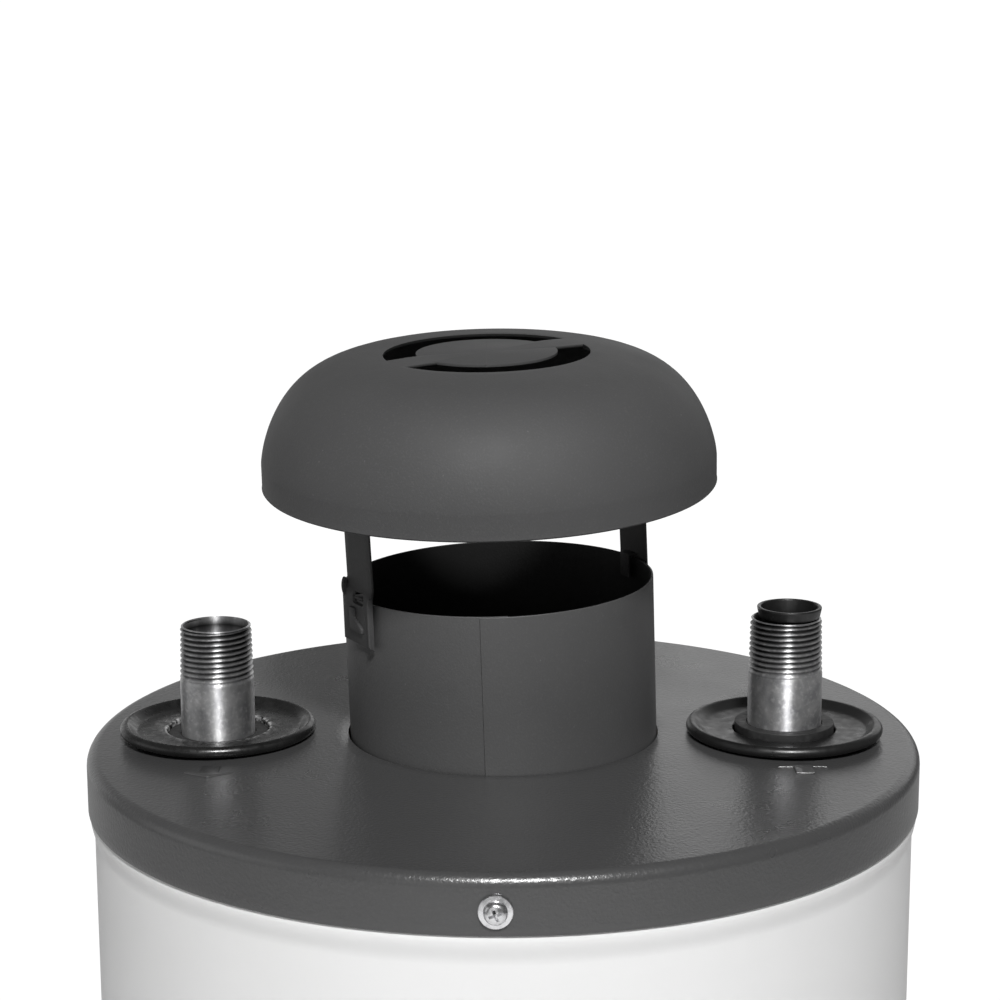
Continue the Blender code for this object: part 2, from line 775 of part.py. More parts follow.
def hood_leg(name, bearing):
    """A strap from under the crown down to a foot that hooks over the collar's rim."""
    turn = Matrix.Rotation(bearing, 4, "Z")
    foot_frame = COLLAR_FRAME @ turn
    top_frame = HOOD_FRAME @ turn
    tab_r = 44 * mm
    under = 3.4 * mm
    plate = [
        (LEG_FOOT_HALF, LEG_REACH, LEG_FOOT_LOW),
        (LEG_FOOT_HALF, LEG_REACH, LEG_FOOT_HIGH - 2.4 * mm),
        (LEG_HALF, LEG_STRAP_REACH, LEG_FOOT_HIGH),
    ]
    rows = [[foot_frame @ Vector((x, -r, z)) for x in (-half, half)] for half, r, z in plate]
    for r in (LEG_STRAP_REACH, tab_r):
        z = crown_height(r, HOOD_SHEET) - under
        rows.append([top_frame @ Vector((x, -r, z)) for x in (-LEG_HALF, LEG_HALF)])
    leg = sheet(f"hood_leg_{name}", rows, LEG_SHEET, GREY_PAINT)
    over = COLLAR_HEIGHT + 0.6 * mm
    inside_y = COLLAR_R - SHEET - 1.6 * mm
    hook_half = 3 * mm
    shelf = block(
        f"hook_shelf_{name}",
        (-hook_half, -LEG_REACH - 0.2 * mm, over),
        (hook_half, -inside_y, over + LEG_SHEET),
        None,
        foot_frame,
    )
    tongue = block(
        f"hook_tongue_{name}",
        (-hook_half, -inside_y - LEG_SHEET, over - 9 * mm),
        (hook_half, -inside_y, over + LEG_SHEET),
        None,
        foot_frame,
    )
    window = block(
        f"hook_window_{name}",
        (-5 * mm, -LEG_REACH - 3 * mm, over - 8 * mm),
        (5 * mm, -LEG_REACH + 0.9 * mm, over - 1 * mm),
        None,
        foot_frame,
    )
    join(shelf, tongue)
    cut(leg, window)
    join(leg, shelf)


def hood():
    hood_dome()
    for name, bearing in LEG_BEARINGS.items():
        hood_leg(name, bearing)


# Gas control valve

DIAL_Z = 268 * mm
KNOB_X = -14 * mm
BUTTON_X = 21 * mm
CONTROL_Y = -190 * mm
VALVE_TOP = 330 * mm


def gas_valve_body():
    half = 37 * mm
    low = (-half, -VALVE_FRONT, 240 * mm)
    body = block("gas_valve_body", low, (half, -VALVE_BACK, VALVE_TOP), ALUMINIUM)
    bevel = body.modifiers.new("edges", "BEVEL")
    bevel.width = 4 * mm
    bevel.segments = 1
    shank_end = VALVE_BACK + 5 * mm
    shank_place = outward(0, VALVE_Z)
    shank = rod("valve_shank", SPUD_BORE_LARGE - 1 * mm, SHANK_START, shank_end, None, SMALL, shank_place)
    inlet = Matrix.Translation((0, CONTROL_Y, 262 * mm)) @ Matrix.Rotation(math.pi / 2, 4, "Y")
    hub = rod("inlet_hub", 15 * mm, 30 * mm, 52 * mm, None, MID, inlet)
    join(body, shank, hub)
    drills = [
        ("inlet", 10.5 * mm, 38 * mm, 60 * mm, inlet),
        ("dial", 4.2 * mm, VALVE_FRONT - 10 * mm, VALVE_FRONT + 5 * mm, outward(0, DIAL_Z)),
        ("knob", 4.2 * mm, -10 * mm, 5 * mm, Matrix.Translation((KNOB_X, CONTROL_Y, VALVE_TOP))),
        ("button", 4.6 * mm, -14 * mm, 5 * mm, Matrix.Translation((BUTTON_X, CONTROL_Y, VALVE_TOP))),
    ]
    for name, radius, start, end, place in drills:
        cut(body, rod(f"{name}_bore", radius, start, end, None, SMALL, place))


def thermostat_probe():
    rod("thermostat_probe", 5 * mm, 60 * mm, SHANK_START - GAP, COPPER, SMALL, outward(0, VALVE_Z))


def temperature_dial():
    place = outward(0, DIAL_Z, VALVE_FRONT)
    profile = [
        (0, 18 * mm),
        (17 * mm, 18 * mm),
        (22 * mm, 15.5 * mm),
        (24 * mm, 1 * mm),
        (3.7 * mm, 1 * mm),
        (3.7 * mm, -8 * mm),
        (0, -8 * mm),
    ]
    dial = turned("temperature_dial", profile, BLACK_PLASTIC, MID, place)
    half = 1.5 * mm
    pointer = block("dial_pointer", (-half, 6 * mm, 16 * mm), (half, 20 * mm, 19.5 * mm), None, place)
    join(dial, pointer)


def gas_cock_knob():
    place = Matrix.Translation((KNOB_X, CONTROL_Y, VALVE_TOP))
    profile = [
        (0, 9 * mm),
        (15 * mm, 9 * mm),
        (17 * mm, 7 * mm),
        (17 * mm, 1 * mm),
        (3.7 * mm, 1 * mm),
        (3.7 * mm, -8 * mm),
        (0, -8 * mm),
    ]
    knob = turned("gas_cock_knob", profile, BLACK_PLASTIC, MID, place)
    half = 3.5 * mm
    reach = 15.5 * mm
    grip = block("knob_grip", (-half, -reach, 8 * mm), (half, reach, 17 * mm), None, place)
    join(knob, grip)


def push_button(name, cap_r, stem_r, stem_low, place):
    profile = [
        (0, 10.5 * mm),
        (cap_r - 1 * mm, 10.5 * mm),
        (cap_r, 9.5 * mm),
        (cap_r, 6.5 * mm),
        (stem_r, 6.5 * mm),
        (stem_r, stem_low),
        (0, stem_low),
    ]
    turned(name, profile, RED_PLASTIC, SMALL, place)


def pilot_button():
    place = Matrix.Translation((BUTTON_X, CONTROL_Y, VALVE_TOP))
    push_button("pilot_button", 6 * mm, 4.1 * mm, -6 * mm, place)


def igniter():
    """A piezo igniter clipped to the side of the control, with its button on top."""
    place = Matrix.Translation((-49 * mm, CONTROL_Y, 300 * mm))
    profile = [
        (0, -16 * mm),
        (5.2 * mm, -16 * mm),
        (5.2 * mm, 0),
        (9 * mm, 0),
        (9 * mm, -38 * mm),
        (0, -38 * mm),
    ]
    case = turned("igniter_body", profile, BLACK_PLASTIC, SMALL, place)
    half = 9 * mm
    low = (-42 * mm, CONTROL_Y - half, 268 * mm)
    high = (-37 * mm - GAP, CONTROL_Y + half, 294 * mm)
    join(case, block("igniter_clip", low, high))
    push_button("igniter_button", 7 * mm, 4.7 * mm, -7 * mm, place)


# Drain valve

DRAIN_REACH = 172 * mm
DRAIN_SEAT = 265 * mm


def drain_valve_body(axis):
    body = rod("drain_valve_body", 13 * mm, 248 * mm, 286 * mm, BRASS, SMALL, axis)
    shank_place = outward(DRAIN_BEARING, DRAIN_Z)
    shank = rod("drain_shank", SPUD_BORE_SMALL - 1 * mm, SHANK_START, DRAIN_REACH, None, SMALL, shank_place)
    spout_place = outward(DRAIN_BEARING, 273 * mm)
    spout = rod("drain_spout", 11.5 * mm, DRAIN_REACH + 2 * mm, 202 * mm, None, SMALL, spout_place)
    join(body, shank, spout)
    inlet = rod("drain_inlet", 5 * mm, 115 * mm, DRAIN_REACH, None, SMALL, shank_place)
    outlet = rod("drain_outlet", 7 * mm, DRAIN_REACH, 210 * mm, None, SMALL, spout_place)
    bore_steps = [
        (4.3 * mm, 290 * mm, 281 * mm),
        (9.8 * mm, 281 * mm, DRAIN_SEAT),
        (6 * mm, DRAIN_SEAT, 252 * mm),
    ]
    cut(body, stepped_bore("drain_chamber", bore_steps, axis), inlet, outlet)


def drain_handle(axis):
    wheel = [
        (0, 306 * mm),
        (19 * mm, 306 * mm),
        (22 * mm, 303 * mm),
        (22 * mm, 298 * mm),
        (19 * mm, 296 * mm),
        (8 * mm, 296 * mm),
        (8 * mm, 290 * mm),
        (4.2 * mm, 290 * mm),
        (4.2 * mm, 302.4 * mm),
        (0, 302.4 * mm),
    ]
    handle = turned("drain_handle", wheel, RED_PLASTIC, SMALL, axis)
    for i in range(4):
        turn = Matrix.Rotation(math.radians(45 + 90 * i), 4, "Z")
        place = axis @ turn @ Matrix.Translation((24 * mm, 0, 0))
        cut(handle, rod(f"handle_scallop_{i}", 6 * mm, 280 * mm, 320 * mm, None, SMALL, place))


def drain_valve():
    axis = upright(DRAIN_BEARING, DRAIN_REACH)
    drain_valve_body(axis)
    rod("drain_washer", 8.8 * mm, DRAIN_SEAT + 0.3 * mm, DRAIN_SEAT + 3.3 * mm, RUBBER, SMALL, axis)
    rod("drain_stem", 3.8 * mm, DRAIN_SEAT + 3.6 * mm, 302 * mm, BRASS, SMALL, axis)
    drain_handle(axis)


# Relief valve

RELIEF_SEAT = 172 * mm
RELIEF_END = 205 * mm
LEVER_REACH = 212 * mm
LEVER_Z = RELIEF_Z + 13 * mm


def relief_valve_body(axis, turn, pin_place):
    body = rod("relief_valve_body", 14 * mm, 160 * mm, RELIEF_END, BRASS, SMALL, axis)
    shank = rod("relief_shank", SPUD_BORE_LARGE - 1 * mm, SHANK_START, 162 * mm, None, SMALL, axis)
    drop = upright(RELIEF_BEARING, 184 * mm)
    outlet = rod("relief_outlet", 11.5 * mm, RELIEF_Z - 30 * mm, RELIEF_Z, None, SMALL, drop)
    join(body, shank, outlet)
    ear = 3 * mm
    for i, x in enumerate((-8.5 * mm, 5.5 * mm)):
        low = (x, -218 * mm, RELIEF_Z + 6 * mm)
        high = (x + ear, -200 * mm, LEVER_Z + 6 * mm)
        join(body, block(f"relief_ear_{i}", low, high, None, turn))
    bore_steps = [
        (3.7 * mm, 210 * mm, 200 * mm),
        (9.8 * mm, 200 * mm, RELIEF_SEAT),
        (6 * mm, RELIEF_SEAT, 115 * mm),
    ]
    bore = stepped_bore("relief_bore", bore_steps, axis)
    outlet_low = RELIEF_Z - 40 * mm
    outlet_bore = rod("relief_outlet_bore", 8 * mm, outlet_low, RELIEF_Z - 2 * mm, None, SMALL, drop)
    pin_bore = rod("relief_pin_bore", 2.4 * mm, -12 * mm, 12 * mm, None, SMALL, pin_place)
    cut(body, bore, outlet_bore, pin_bore)


def relief_valve():
    axis = outward(RELIEF_BEARING, RELIEF_Z)
    turn = Matrix.Rotation(RELIEF_BEARING, 4, "Z")
    pivot = turn @ Matrix.Translation((0, -LEVER_REACH, LEVER_Z))
    pin_place = pivot @ Matrix.Rotation(math.pi / 2, 4, "Y")
    relief_valve_body(axis, turn, pin_place)
    rod("relief_lever_pin", 2 * mm, -10 * mm, 10 * mm, BARE_STEEL, SMALL, pin_place)
    stem = [
        (0, 214.5 * mm),
        (4.5 * mm, 214.5 * mm),
        (4.5 * mm, 211 * mm),
        (3.2 * mm, 211 * mm),
        (3.2 * mm, RELIEF_SEAT + 3.5 * mm),
        (8.8 * mm, RELIEF_SEAT + 3.5 * mm),
        (8.8 * mm, RELIEF_SEAT + 0.3 * mm),
        (0, RELIEF_SEAT + 0.3 * mm),
    ]
    turned("relief_stem", stem, BRASS, SMALL, axis)
    relief_lever(pivot, pin_place)


def relief_lever(pivot, pin_place):
    half = 4.6 * mm
    lever = block("relief_lever", (-half, -2 * mm, -3.5 * mm), (half, 2 * mm, 42 * mm), ZINC, pivot)
    join(lever, rod("lever_hub", 4.4 * mm, -half, half, None, SMALL, pin_place))
    cut(lever, rod("lever_bore", 2.4 * mm, -12 * mm, 12 * mm, None, SMALL, pin_place))


base_pan()
feet()
combustion_skirt()
inner_door()
outer_door()
burner()
burner_bracket()
pilot()
gas_tubes()
tank()
heads()
flue_baffle()
insulation()
jacket()
top_cover()
cover_screws()
pipes()
flue_collar()
hood()
gas_valve_body()
thermostat_probe()
temperature_dial()
gas_cock_knob()
pilot_button()
igniter()
drain_valve()
relief_valve()
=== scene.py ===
"""The looks of a small gas water heater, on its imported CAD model. Metres, +Z up, -Y to the front."""

import math

import bmesh
import bpy
from mathutils import Matrix, Vector


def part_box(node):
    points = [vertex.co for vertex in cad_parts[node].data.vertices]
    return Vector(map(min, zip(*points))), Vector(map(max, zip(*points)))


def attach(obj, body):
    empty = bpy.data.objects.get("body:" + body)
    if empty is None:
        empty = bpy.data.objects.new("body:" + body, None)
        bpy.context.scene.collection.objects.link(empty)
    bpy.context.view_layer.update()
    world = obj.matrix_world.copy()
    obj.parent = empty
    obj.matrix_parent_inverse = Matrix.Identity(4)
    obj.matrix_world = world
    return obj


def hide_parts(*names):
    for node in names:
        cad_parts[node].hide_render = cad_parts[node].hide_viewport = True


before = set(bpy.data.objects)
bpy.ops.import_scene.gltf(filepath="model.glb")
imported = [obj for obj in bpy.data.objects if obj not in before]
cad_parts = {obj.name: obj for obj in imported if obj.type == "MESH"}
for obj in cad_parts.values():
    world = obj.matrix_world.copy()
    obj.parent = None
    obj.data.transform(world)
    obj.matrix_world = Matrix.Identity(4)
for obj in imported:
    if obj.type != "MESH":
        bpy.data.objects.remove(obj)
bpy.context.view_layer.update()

mm = 0.001
TURN = math.tau
scene = bpy.context.scene
scene.view_settings.view_transform = "Standard"


# Places, and what is read from the frame


def at(x, y, z=0.0):
    return Matrix.Translation((x, y, z))


def spun(axis, degrees):
    return Matrix.Rotation(math.radians(degrees), 4, axis)


def outward(degrees, height, distance=0.0):
    """A place whose Z axis points out of the heater at a bearing."""
    return spun("Z", degrees) @ at(0, -distance, height) @ spun("X", 90)


def middle(node):
    low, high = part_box(node)
    return (low + high) / 2


def low_z(node):
    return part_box(node)[0].z


def high_z(node):
    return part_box(node)[1].z


def reach(node):
    """Half of a node's width, which is its radius if it is turned about an upright axis."""
    low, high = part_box(node)
    return (high.x - low.x) / 2


RADIUS = reach("top_cover")
COVER_TOP = high_z("top_cover")
SHEET = 0.8 * mm
PIPES = {side: Matrix.Translation(middle(f"nipple_{side}").xy.to_3d()) for side in ("hot", "cold")}
PIPE_R = reach("nipple_cold")
PIPE_BORE_R = 10.45 * mm
VALVE_LOW, VALVE_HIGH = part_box("gas_valve_body")
CONTROL_Y = middle("gas_cock_knob").y

COLLAR_R = 55.7 * mm
COLLAR_HEIGHT = 59 * mm
COLLAR_FRAME = at(0, 0.6 * mm, COVER_TOP - 0.4 * mm) @ spun("Y", -1.75) @ spun("X", 1.2)
HOOD_R = 80.9 * mm
HOOD_WALL = 9 * mm
HOOD_CROWN = 37.5 * mm
HOOD_SHEET = 0.9 * mm
HOOD_FRAME = at(-4.6 * mm, 0, COVER_TOP + 94.2 * mm) @ spun("X", 4.1) @ spun("Y", -1)


# Mesh helpers


def from_bmesh(name, shape, look, sharp=35):
    bmesh.ops.recalc_face_normals(shape, faces=shape.faces)
    mesh = bpy.data.meshes.new(name)
    shape.to_mesh(mesh)
    shape.free()
    mesh.materials.append(look)
    mesh.shade_smooth()
    mesh.set_sharp_from_angle(angle=math.radians(sharp))
    obj = bpy.data.objects.new(name, mesh)
    scene.collection.objects.link(obj)
    return obj


def surface(name, points, faces, look, sharp=35):
    shape = bmesh.new()
    made = [shape.verts.new(point) for point in points]
    for face in faces:
        shape.faces.new([made[i] for i in face])
    return from_bmesh(name, shape, look, sharp)


def curve(start, corner, end, steps):
    """Points of the arc that replaces a corner."""
    shares = [k / steps for k in range(steps + 1)]
    return [start * (1 - t) ** 2 + corner * 2 * t * (1 - t) + end * t**2 for t in shares]


def softened(profile, radius, closed=True, steps=3):
    """Rounds each corner of a section that turns by more than 20 degrees, to a radius in millimetres."""
    points = [Vector(p) for p in profile]
    route = []
    for i, corner in enumerate(points):
        if not closed and i in (0, len(points) - 1):
            route.append(corner)
            continue
        before = points[i - 1] - corner
        after = points[(i + 1) % len(points)] - corner
        cut = min(radius * mm, 0.45 * before.length, 0.45 * after.length)
        if before.angle(-after) < math.radians(20):
            route.append(corner)
            continue
        start = corner + before.normalized() * cut
        route += curve(start, corner, corner + after.normalized() * cut, steps)
    return [tuple(p) for p in route]


def dense(profile, spacing):
    """Adds points to a section, so that none are further apart than the spacing in millimetres."""
    route = []
    for (r0, z0), (r1, z1) in zip(profile, profile[1:]):
        pieces = max(1, math.ceil(math.hypot(r1 - r0, z1 - z0) / (spacing * mm)))
        route += [(r0 + (r1 - r0) * k / pieces, z0 + (z1 - z0) * k / pieces) for k in range(pieces)]
    return route + [profile[-1]]


def turned(name, profile, look, place=Matrix(), steps=96, relief=None, sharp=35):
    """Turns (radius, height) points about the place's Z axis. Relief, if given, changes each radius."""
    closed = profile[0][0] > 0
    points = []
    rings = []
    for r, z in profile:
        count = steps if r > 0 else 1
        rings.append([len(points) + k for k in range(count)])
        for k in range(count):
            bearing = TURN * k / steps
            radius = relief(bearing, r, z) if relief and r > 0 else r
            points.append(place @ Vector((radius * math.cos(bearing), radius * math.sin(bearing), z)))
    pairs = list(zip(rings, rings[1:]))
    if closed:
        pairs.append((rings[-1], rings[0]))
    faces = []
    for a, b in pairs:
        for k in range(steps):
            corners = [a[k % len(a)], a[(k + 1) % len(a)], b[(k + 1) % len(b)], b[k % len(b)]]
            face = list(dict.fromkeys(corners))
            if len(face) > 2:
                faces.append(face)
    return surface(name, points, faces, look, sharp)


def ring_section(inner, outer, low, high, edge=0.2):
    return softened([(inner, high), (outer, high), (outer, low), (inner, low)], edge)


def rod_section(radius, low, high, edge=0.3):
    return softened([(0, high), (radius, high), (radius, low), (0, low)], edge, closed=False)


def mms(*pairs, up=0.0):
    """Section points given in millimetres, raised by a height in metres."""
    return [(x * mm, up + y * mm) for x, y in pairs]


def mm3(x, y, z):
    return (x * mm, y * mm, z * mm)


def ring_mm(inner, outer, low, high, edge=0.2):
    return ring_section(inner * mm, outer * mm, low * mm, high * mm, edge)


def rod_mm(radius, low, high, edge=0.3):
    return rod_section(radius * mm, low * mm, high * mm, edge)


def extruded(name, outline, low, high, look, place=Matrix()):
    """A flat outline, as (x, y) points, raised from one height to another."""
    count = len(outline)
    points = [place @ Vector((x, y, z)) for z in (low, high) for x, y in outline]
    faces = [list(range(count)), list(range(count, 2 * count))]
    for k in range(count):
        n = (k + 1) % count
        faces.append([k, n, count + n, count + k])
    return surface(name, points, faces, look)


def block(name, low, high, look, place=Matrix(), edge=0.0):
    low = Vector(low)
    high = Vector(high)
    outline = [(low.x, low.y), (high.x, low.y), (high.x, high.y), (low.x, high.y)]
    obj = extruded(name, outline, low.z, high.z, look, place)
    if edge:
        rounded_edges(obj, edge)
    return obj


def rounded_edges(obj, width, segments=3):
    """Rounds sharp edges to a width in millimetres."""
    bevel = obj.modifiers.new("edges", "BEVEL")
    bevel.width = width * mm
    bevel.segments = segments
    bevel.limit_method = "ANGLE"
    bevel.angle_limit = math.radians(35)
    normals = obj.modifiers.new("normals", "WEIGHTED_NORMAL")
    normals.keep_sharp = True
    return obj


def drill(radius, low, high, place=Matrix(), steps=48, edge=0.3):
    """A plain rod in millimetres, to cut a body with or to join to it."""
    return turned("drill", rod_mm(radius, low, high, edge), None, place, steps)


def baked(obj, sharp=35):
    """Applies the modifiers to the mesh."""
    graph = bpy.context.evaluated_depsgraph_get()
    mesh = bpy.data.meshes.new_from_object(obj.evaluated_get(graph))
    obj.modifiers.clear()
    obj.data = mesh
    mesh.shade_smooth()
    mesh.set_sharp_from_angle(angle=math.radians(sharp))
    return obj


def combined(obj, operation, others):
    """Applies a boolean with each of the other shapes and takes those away."""
    for other in others:
        step = obj.modifiers.new("step", "BOOLEAN")
        step.operation = operation
        step.object = other
    baked(obj)
    for other in others:
        bpy.data.objects.remove(other)
    return obj


def cut(obj, *cutters):
    return combined(obj, "DIFFERENCE", cutters)


def joined(obj, *others):
    return combined(obj, "UNION", others)


def merged(name, *objects):
    """One object that holds the meshes of several, all with the first one's material."""
    graph = bpy.context.evaluated_depsgraph_get()
    look = objects[0].data.materials[0]
    shape = bmesh.new()
    for obj in objects:
        mesh = bpy.data.meshes.new_from_object(obj.evaluated_get(graph))
        mesh.transform(obj.matrix_world)
        shape.from_mesh(mesh)
    for obj in objects:
        bpy.data.objects.remove(obj)
    return from_bmesh(name, shape, look)


def sheet(name, rows, thickness, look, edge=0.0):
    """Rows of points joined into a surface and thickened about its middle."""
    width = len(rows[0])
    points = [point for row in rows for point in row]
    faces = []
    for j in range(len(rows) - 1):
        for i in range(width - 1):
            a = j * width + i
            faces.append([a, a + 1, a + width + 1, a + width])
    obj = surface(name, points, faces, look)
    thick = obj.modifiers.new("thickness", "SOLIDIFY")
    thick.thickness = thickness
    thick.offset = 0
    if edge:
        rounded_edges(obj, edge, 2)
    return obj


def tube(name, points, radius, look):
    """A round tube along a smooth line."""
    line = bpy.data.curves.new(name, "CURVE")
    line.dimensions = "3D"
    line.bevel_depth = radius
    line.bevel_resolution = 5
    line.use_fill_caps = True
    spline = line.splines.new("POLY")
    spline.points.add(len(points) - 1)
    for target, point in zip(spline.points, points):
        target.co = (*point, 1)
    line.materials.append(look)
    obj = bpy.data.objects.new(name, line)
    scene.collection.objects.link(obj)
    return merged(name, obj)


def bent(points, radius, steps=8):
    """A route whose corners are arcs."""
    points = [Vector(p) for p in points]
    route = [points[0]]
    for before, corner, after in zip(points, points[1:], points[2:]):
        start = corner + (before - corner).normalized() * radius
        route += curve(start, corner, corner + (after - corner).normalized() * radius, steps)
    route.append(points[-1])
    return route


def fit(piece, body, slot, *nodes):
    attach(piece, body)
    if nodes:
        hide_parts(*nodes)


# Reliefs for turned surfaces


def thread(low, high, pitch, depth, inner, lead=1.0):
    """A screw thread between two heights, on whatever is outside the inner radius."""

    def relief(bearing, radius, height):
        if radius < inner or not low < height < high:
            return radius
        phase = (height / pitch - bearing / TURN) % 1
        groove = min(1, 1.25 * (1 - abs(2 * phase - 1)))
        fade = min(1, (height - low) / (lead * pitch))
        return radius - depth * groove * fade

    return relief


def flutes(count, depth, low, high, inner, sharpness=1.0):
    """Grooves along a turned surface, evenly round it."""

    def relief(bearing, radius, height):
        if radius < inner or not low <= height <= high:
            return radius
        wave = 0.5 - 0.5 * math.cos(count * bearing)
        return radius - depth * wave**sharpness

    return relief


def hexagon(low, high, inner):
    """Six flats between two heights."""

    def relief(bearing, radius, height):
        if radius < inner or not low <= height <= high:
            return radius
        turn = (bearing + TURN / 12) % (TURN / 6) - TURN / 12
        return min(radius, radius * math.cos(TURN / 12) / math.cos(turn))

    return relief


# Materials


class Look:
    """A procedural material: a Principled shader and the textures that feed it."""

    def __init__(self, name, colour, roughness, metallic=0.0):
        self.material = bpy.data.materials.new(name)
        self.material.use_nodes = True
        self.tree = self.material.node_tree
        self.shader = self.tree.nodes["Principled BSDF"]
        self.shader.inputs["Metallic"].default_value = metallic
        self.shader.inputs["Roughness"].default_value = roughness
        self.shader.inputs["Base Color"].default_value = (*colour, 1)
        self.colour = None
        self.start = (*colour, 1)
        self.heights = []
        self.coords = self.tree.nodes.new("ShaderNodeTexCoord").outputs["Object"]

    def link(self, source, target):
        self.tree.links.new(source, target)

    def add(self, kind, **values):
        """A new node with values for its inputs, whose names have _ for a space."""
        node = self.tree.nodes.new(f"ShaderNode{kind}")
        for name, value in values.items():
            node.inputs[name.replace("_", " ")].default_value = value
        return node

    def noise(self, size, detail):
        """Noise whose blobs are about this size in millimetres."""
        node = self.add("TexNoise", Scale=1 / (size * mm), Detail=detail)
        self.link(self.coords, node.inputs["Vector"])
        return node.outputs["Fac"]

    def cells(self, size):
        node = self.add("TexVoronoi", Scale=1 / (size * mm))
        self.link(self.coords, node.inputs["Vector"])
        return node.outputs["Distance"]

    def ranged(self, source, low, high, to_low=0.0, to_high=1.0):
        node = self.add("MapRange", From_Min=low, From_Max=high, To_Min=to_low, To_Max=to_high)
        self.link(source, node.inputs["Value"])
        return node.outputs["Result"]

    def attribute(self, name):
        node = self.add("Attribute")
        node.attribute_name = name
        return node.outputs["Fac"]

    def paint(self, mask, colour):
        """Mixes a colour over what is there, by a mask."""
        node = self.add("Mix")
        node.data_type = "RGBA"
        first, second = (s for s in node.inputs if s.type == "RGBA")
        if self.colour:
            self.link(self.colour, first)
        else:
            first.default_value = self.start
        second.default_value = (*colour, 1)
        self.link(mask, node.inputs["Factor"])
        self.colour = next(s for s in node.outputs if s.type == "RGBA")
        self.link(self.colour, self.shader.inputs["Base Color"])

    def rough(self, source, low, high):
        self.link(self.ranged(source, 0.3, 0.7, low, high), self.shader.inputs["Roughness"])

    def bumpy(self, source, height):
        """Adds relief whose tallest point is this many millimetres high."""
        node = self.add("Bump", Distance=height * mm, Strength=1)
        self.link(source, node.inputs["Height"])
        if self.heights:
            self.link(self.heights[-1], node.inputs["Normal"])
        self.heights.append(node.outputs["Normal"])
        self.link(node.outputs["Normal"], self.shader.inputs["Normal"])

    def patches(self, size, detail, low, high, most, colour):
        """Blobs of another colour, where the noise lies between two values, up to a share."""
        self.paint(self.ranged(self.noise(size, detail), low, high, 0, most), colour)

    def worn(self, size, detail, low, high):
        self.rough(self.noise(size, detail), low, high)

    def grain(self, size, detail, height):
        self.bumpy(self.noise(size, detail), height)


def grey_paint():
    """Hammered powder coat."""
    look = Look("grey_paint", (0.045, 0.045, 0.0455), 0.34)
    look.patches(60, 4, 0.35, 0.7, 1, (0.050, 0.050, 0.0505))
    look.patches(0.9, 1, 0.55, 0.75, 0.35, (0.062, 0.062, 0.062))
    look.shader.inputs["Specular IOR Level"].default_value = 0.62
    look.worn(25, 3, 0.27, 0.3)
    look.grain(1.2, 2, 0.15)
    look.grain(0.5, 1, 0.02)
    return look.material


def matt_grey_paint(name, roughness, shine):
    """The finer, flatter coat of the hood and the collar, with painted shade on the inside of the sheet."""
    look = Look(name, (0.053, 0.053, 0.0535), roughness)
    look.shader.inputs["Specular IOR Level"].default_value = shine
    look.patches(70, 4, 0.35, 0.7, 1, (0.059, 0.059, 0.0595))
    look.patches(0.7, 1, 0.55, 0.75, 0.4, (0.075, 0.075, 0.075))
    look.patches(1.1, 0, 0.85, 0.88, 0.2, (0.2, 0.2, 0.2))
    # painted shade: the faces marked as inside are painted near black, standing in for the shade inside the
    # hood and collar
    look.paint(look.attribute("inside"), (0.008, 0.008, 0.008))
    look.worn(25, 3, roughness - 0.04, roughness + 0.05)
    look.grain(0.8, 2, 0.06)
    return look.material


def white_paint():
    look = Look("white_paint", (0.66, 0.66, 0.66), 0.3)
    look.patches(80, 4, 0.35, 0.75, 0.6, (0.635, 0.635, 0.63))
    look.worn(30, 3, 0.29, 0.32)
    look.grain(2.2, 2, 0.018)
    return look.material


def spangled(name):
    """A zinc coat with its grey spangle."""
    look = Look(name, (0.5, 0.5, 0.5), 0.34, 0.85)
    look.patches(5, 5, 0.35, 0.65, 1, (0.33, 0.33, 0.34))
    look.patches(1.6, 3, 0.5, 0.75, 0.7, (0.68, 0.68, 0.68))
    look.worn(4, 4, 0.38, 0.5)
    look.grain(0.9, 4, 0.03)
    return look


def galvanised_steel():
    return spangled("galvanised_steel").material


def threaded_steel():
    """Turned zinc-coated steel: fine rings spread a highlight along the pipe, and the roots are painted
    dark: painted shade, with some dirt.
    """
    look = spangled("threaded_steel")
    look.shader.inputs["Anisotropic"].default_value = 0.88
    look.shader.inputs["Anisotropic Rotation"].default_value = 0.25
    tangent = look.add("Tangent")
    tangent.direction_type = "RADIAL"
    tangent.axis = "Z"
    look.link(tangent.outputs["Tangent"], look.shader.inputs["Tangent"])
    # painted shade: the thread roots are painted near black, standing in for the shade in the grooves along
    # with some dirt
    look.paint(look.attribute("shaded_root"), (0.03, 0.03, 0.03))
    return look.material


def bare_steel():
    look = Look("bare_steel", (0.26, 0.26, 0.27), 0.45, 1.0)
    look.patches(40, 6, 0.4, 0.7, 1, (0.14, 0.13, 0.13))
    look.patches(14, 8, 0.6, 0.78, 0.5, (0.2, 0.11, 0.06))
    look.worn(10, 5, 0.4, 0.6)
    look.grain(1.5, 5, 0.05)
    return look.material


def cast_iron():
    look = Look("cast_iron", (0.055, 0.054, 0.053), 0.62, 0.6)
    look.patches(6, 6, 0.5, 0.75, 0.6, (0.12, 0.085, 0.065))
    look.worn(3, 4, 0.55, 0.75)
    look.grain(1.1, 5, 0.16)
    return look.material


def zinc_plate():
    look = Look("zinc_plate", (0.74, 0.74, 0.75), 0.2, 1.0)
    look.patches(2, 4, 0.4, 0.7, 0.6, (0.5, 0.5, 0.52))
    look.worn(1.5, 3, 0.16, 0.34)
    look.grain(0.4, 3, 0.012)
    return look.material


def brass():
    look = Look("brass", (0.62, 0.45, 0.19), 0.3, 1.0)
    look.patches(9, 5, 0.42, 0.72, 0.8, (0.4, 0.27, 0.11))
    look.worn(4, 4, 0.25, 0.42)
    look.grain(0.7, 3, 0.02)
    return look.material


def copper():
    look = Look("copper", (0.72, 0.34, 0.2), 0.28, 1.0)
    look.patches(8, 5, 0.45, 0.7, 0.8, (0.38, 0.16, 0.1))
    look.worn(5, 3, 0.22, 0.4)
    look.grain(0.6, 2, 0.01)
    return look.material


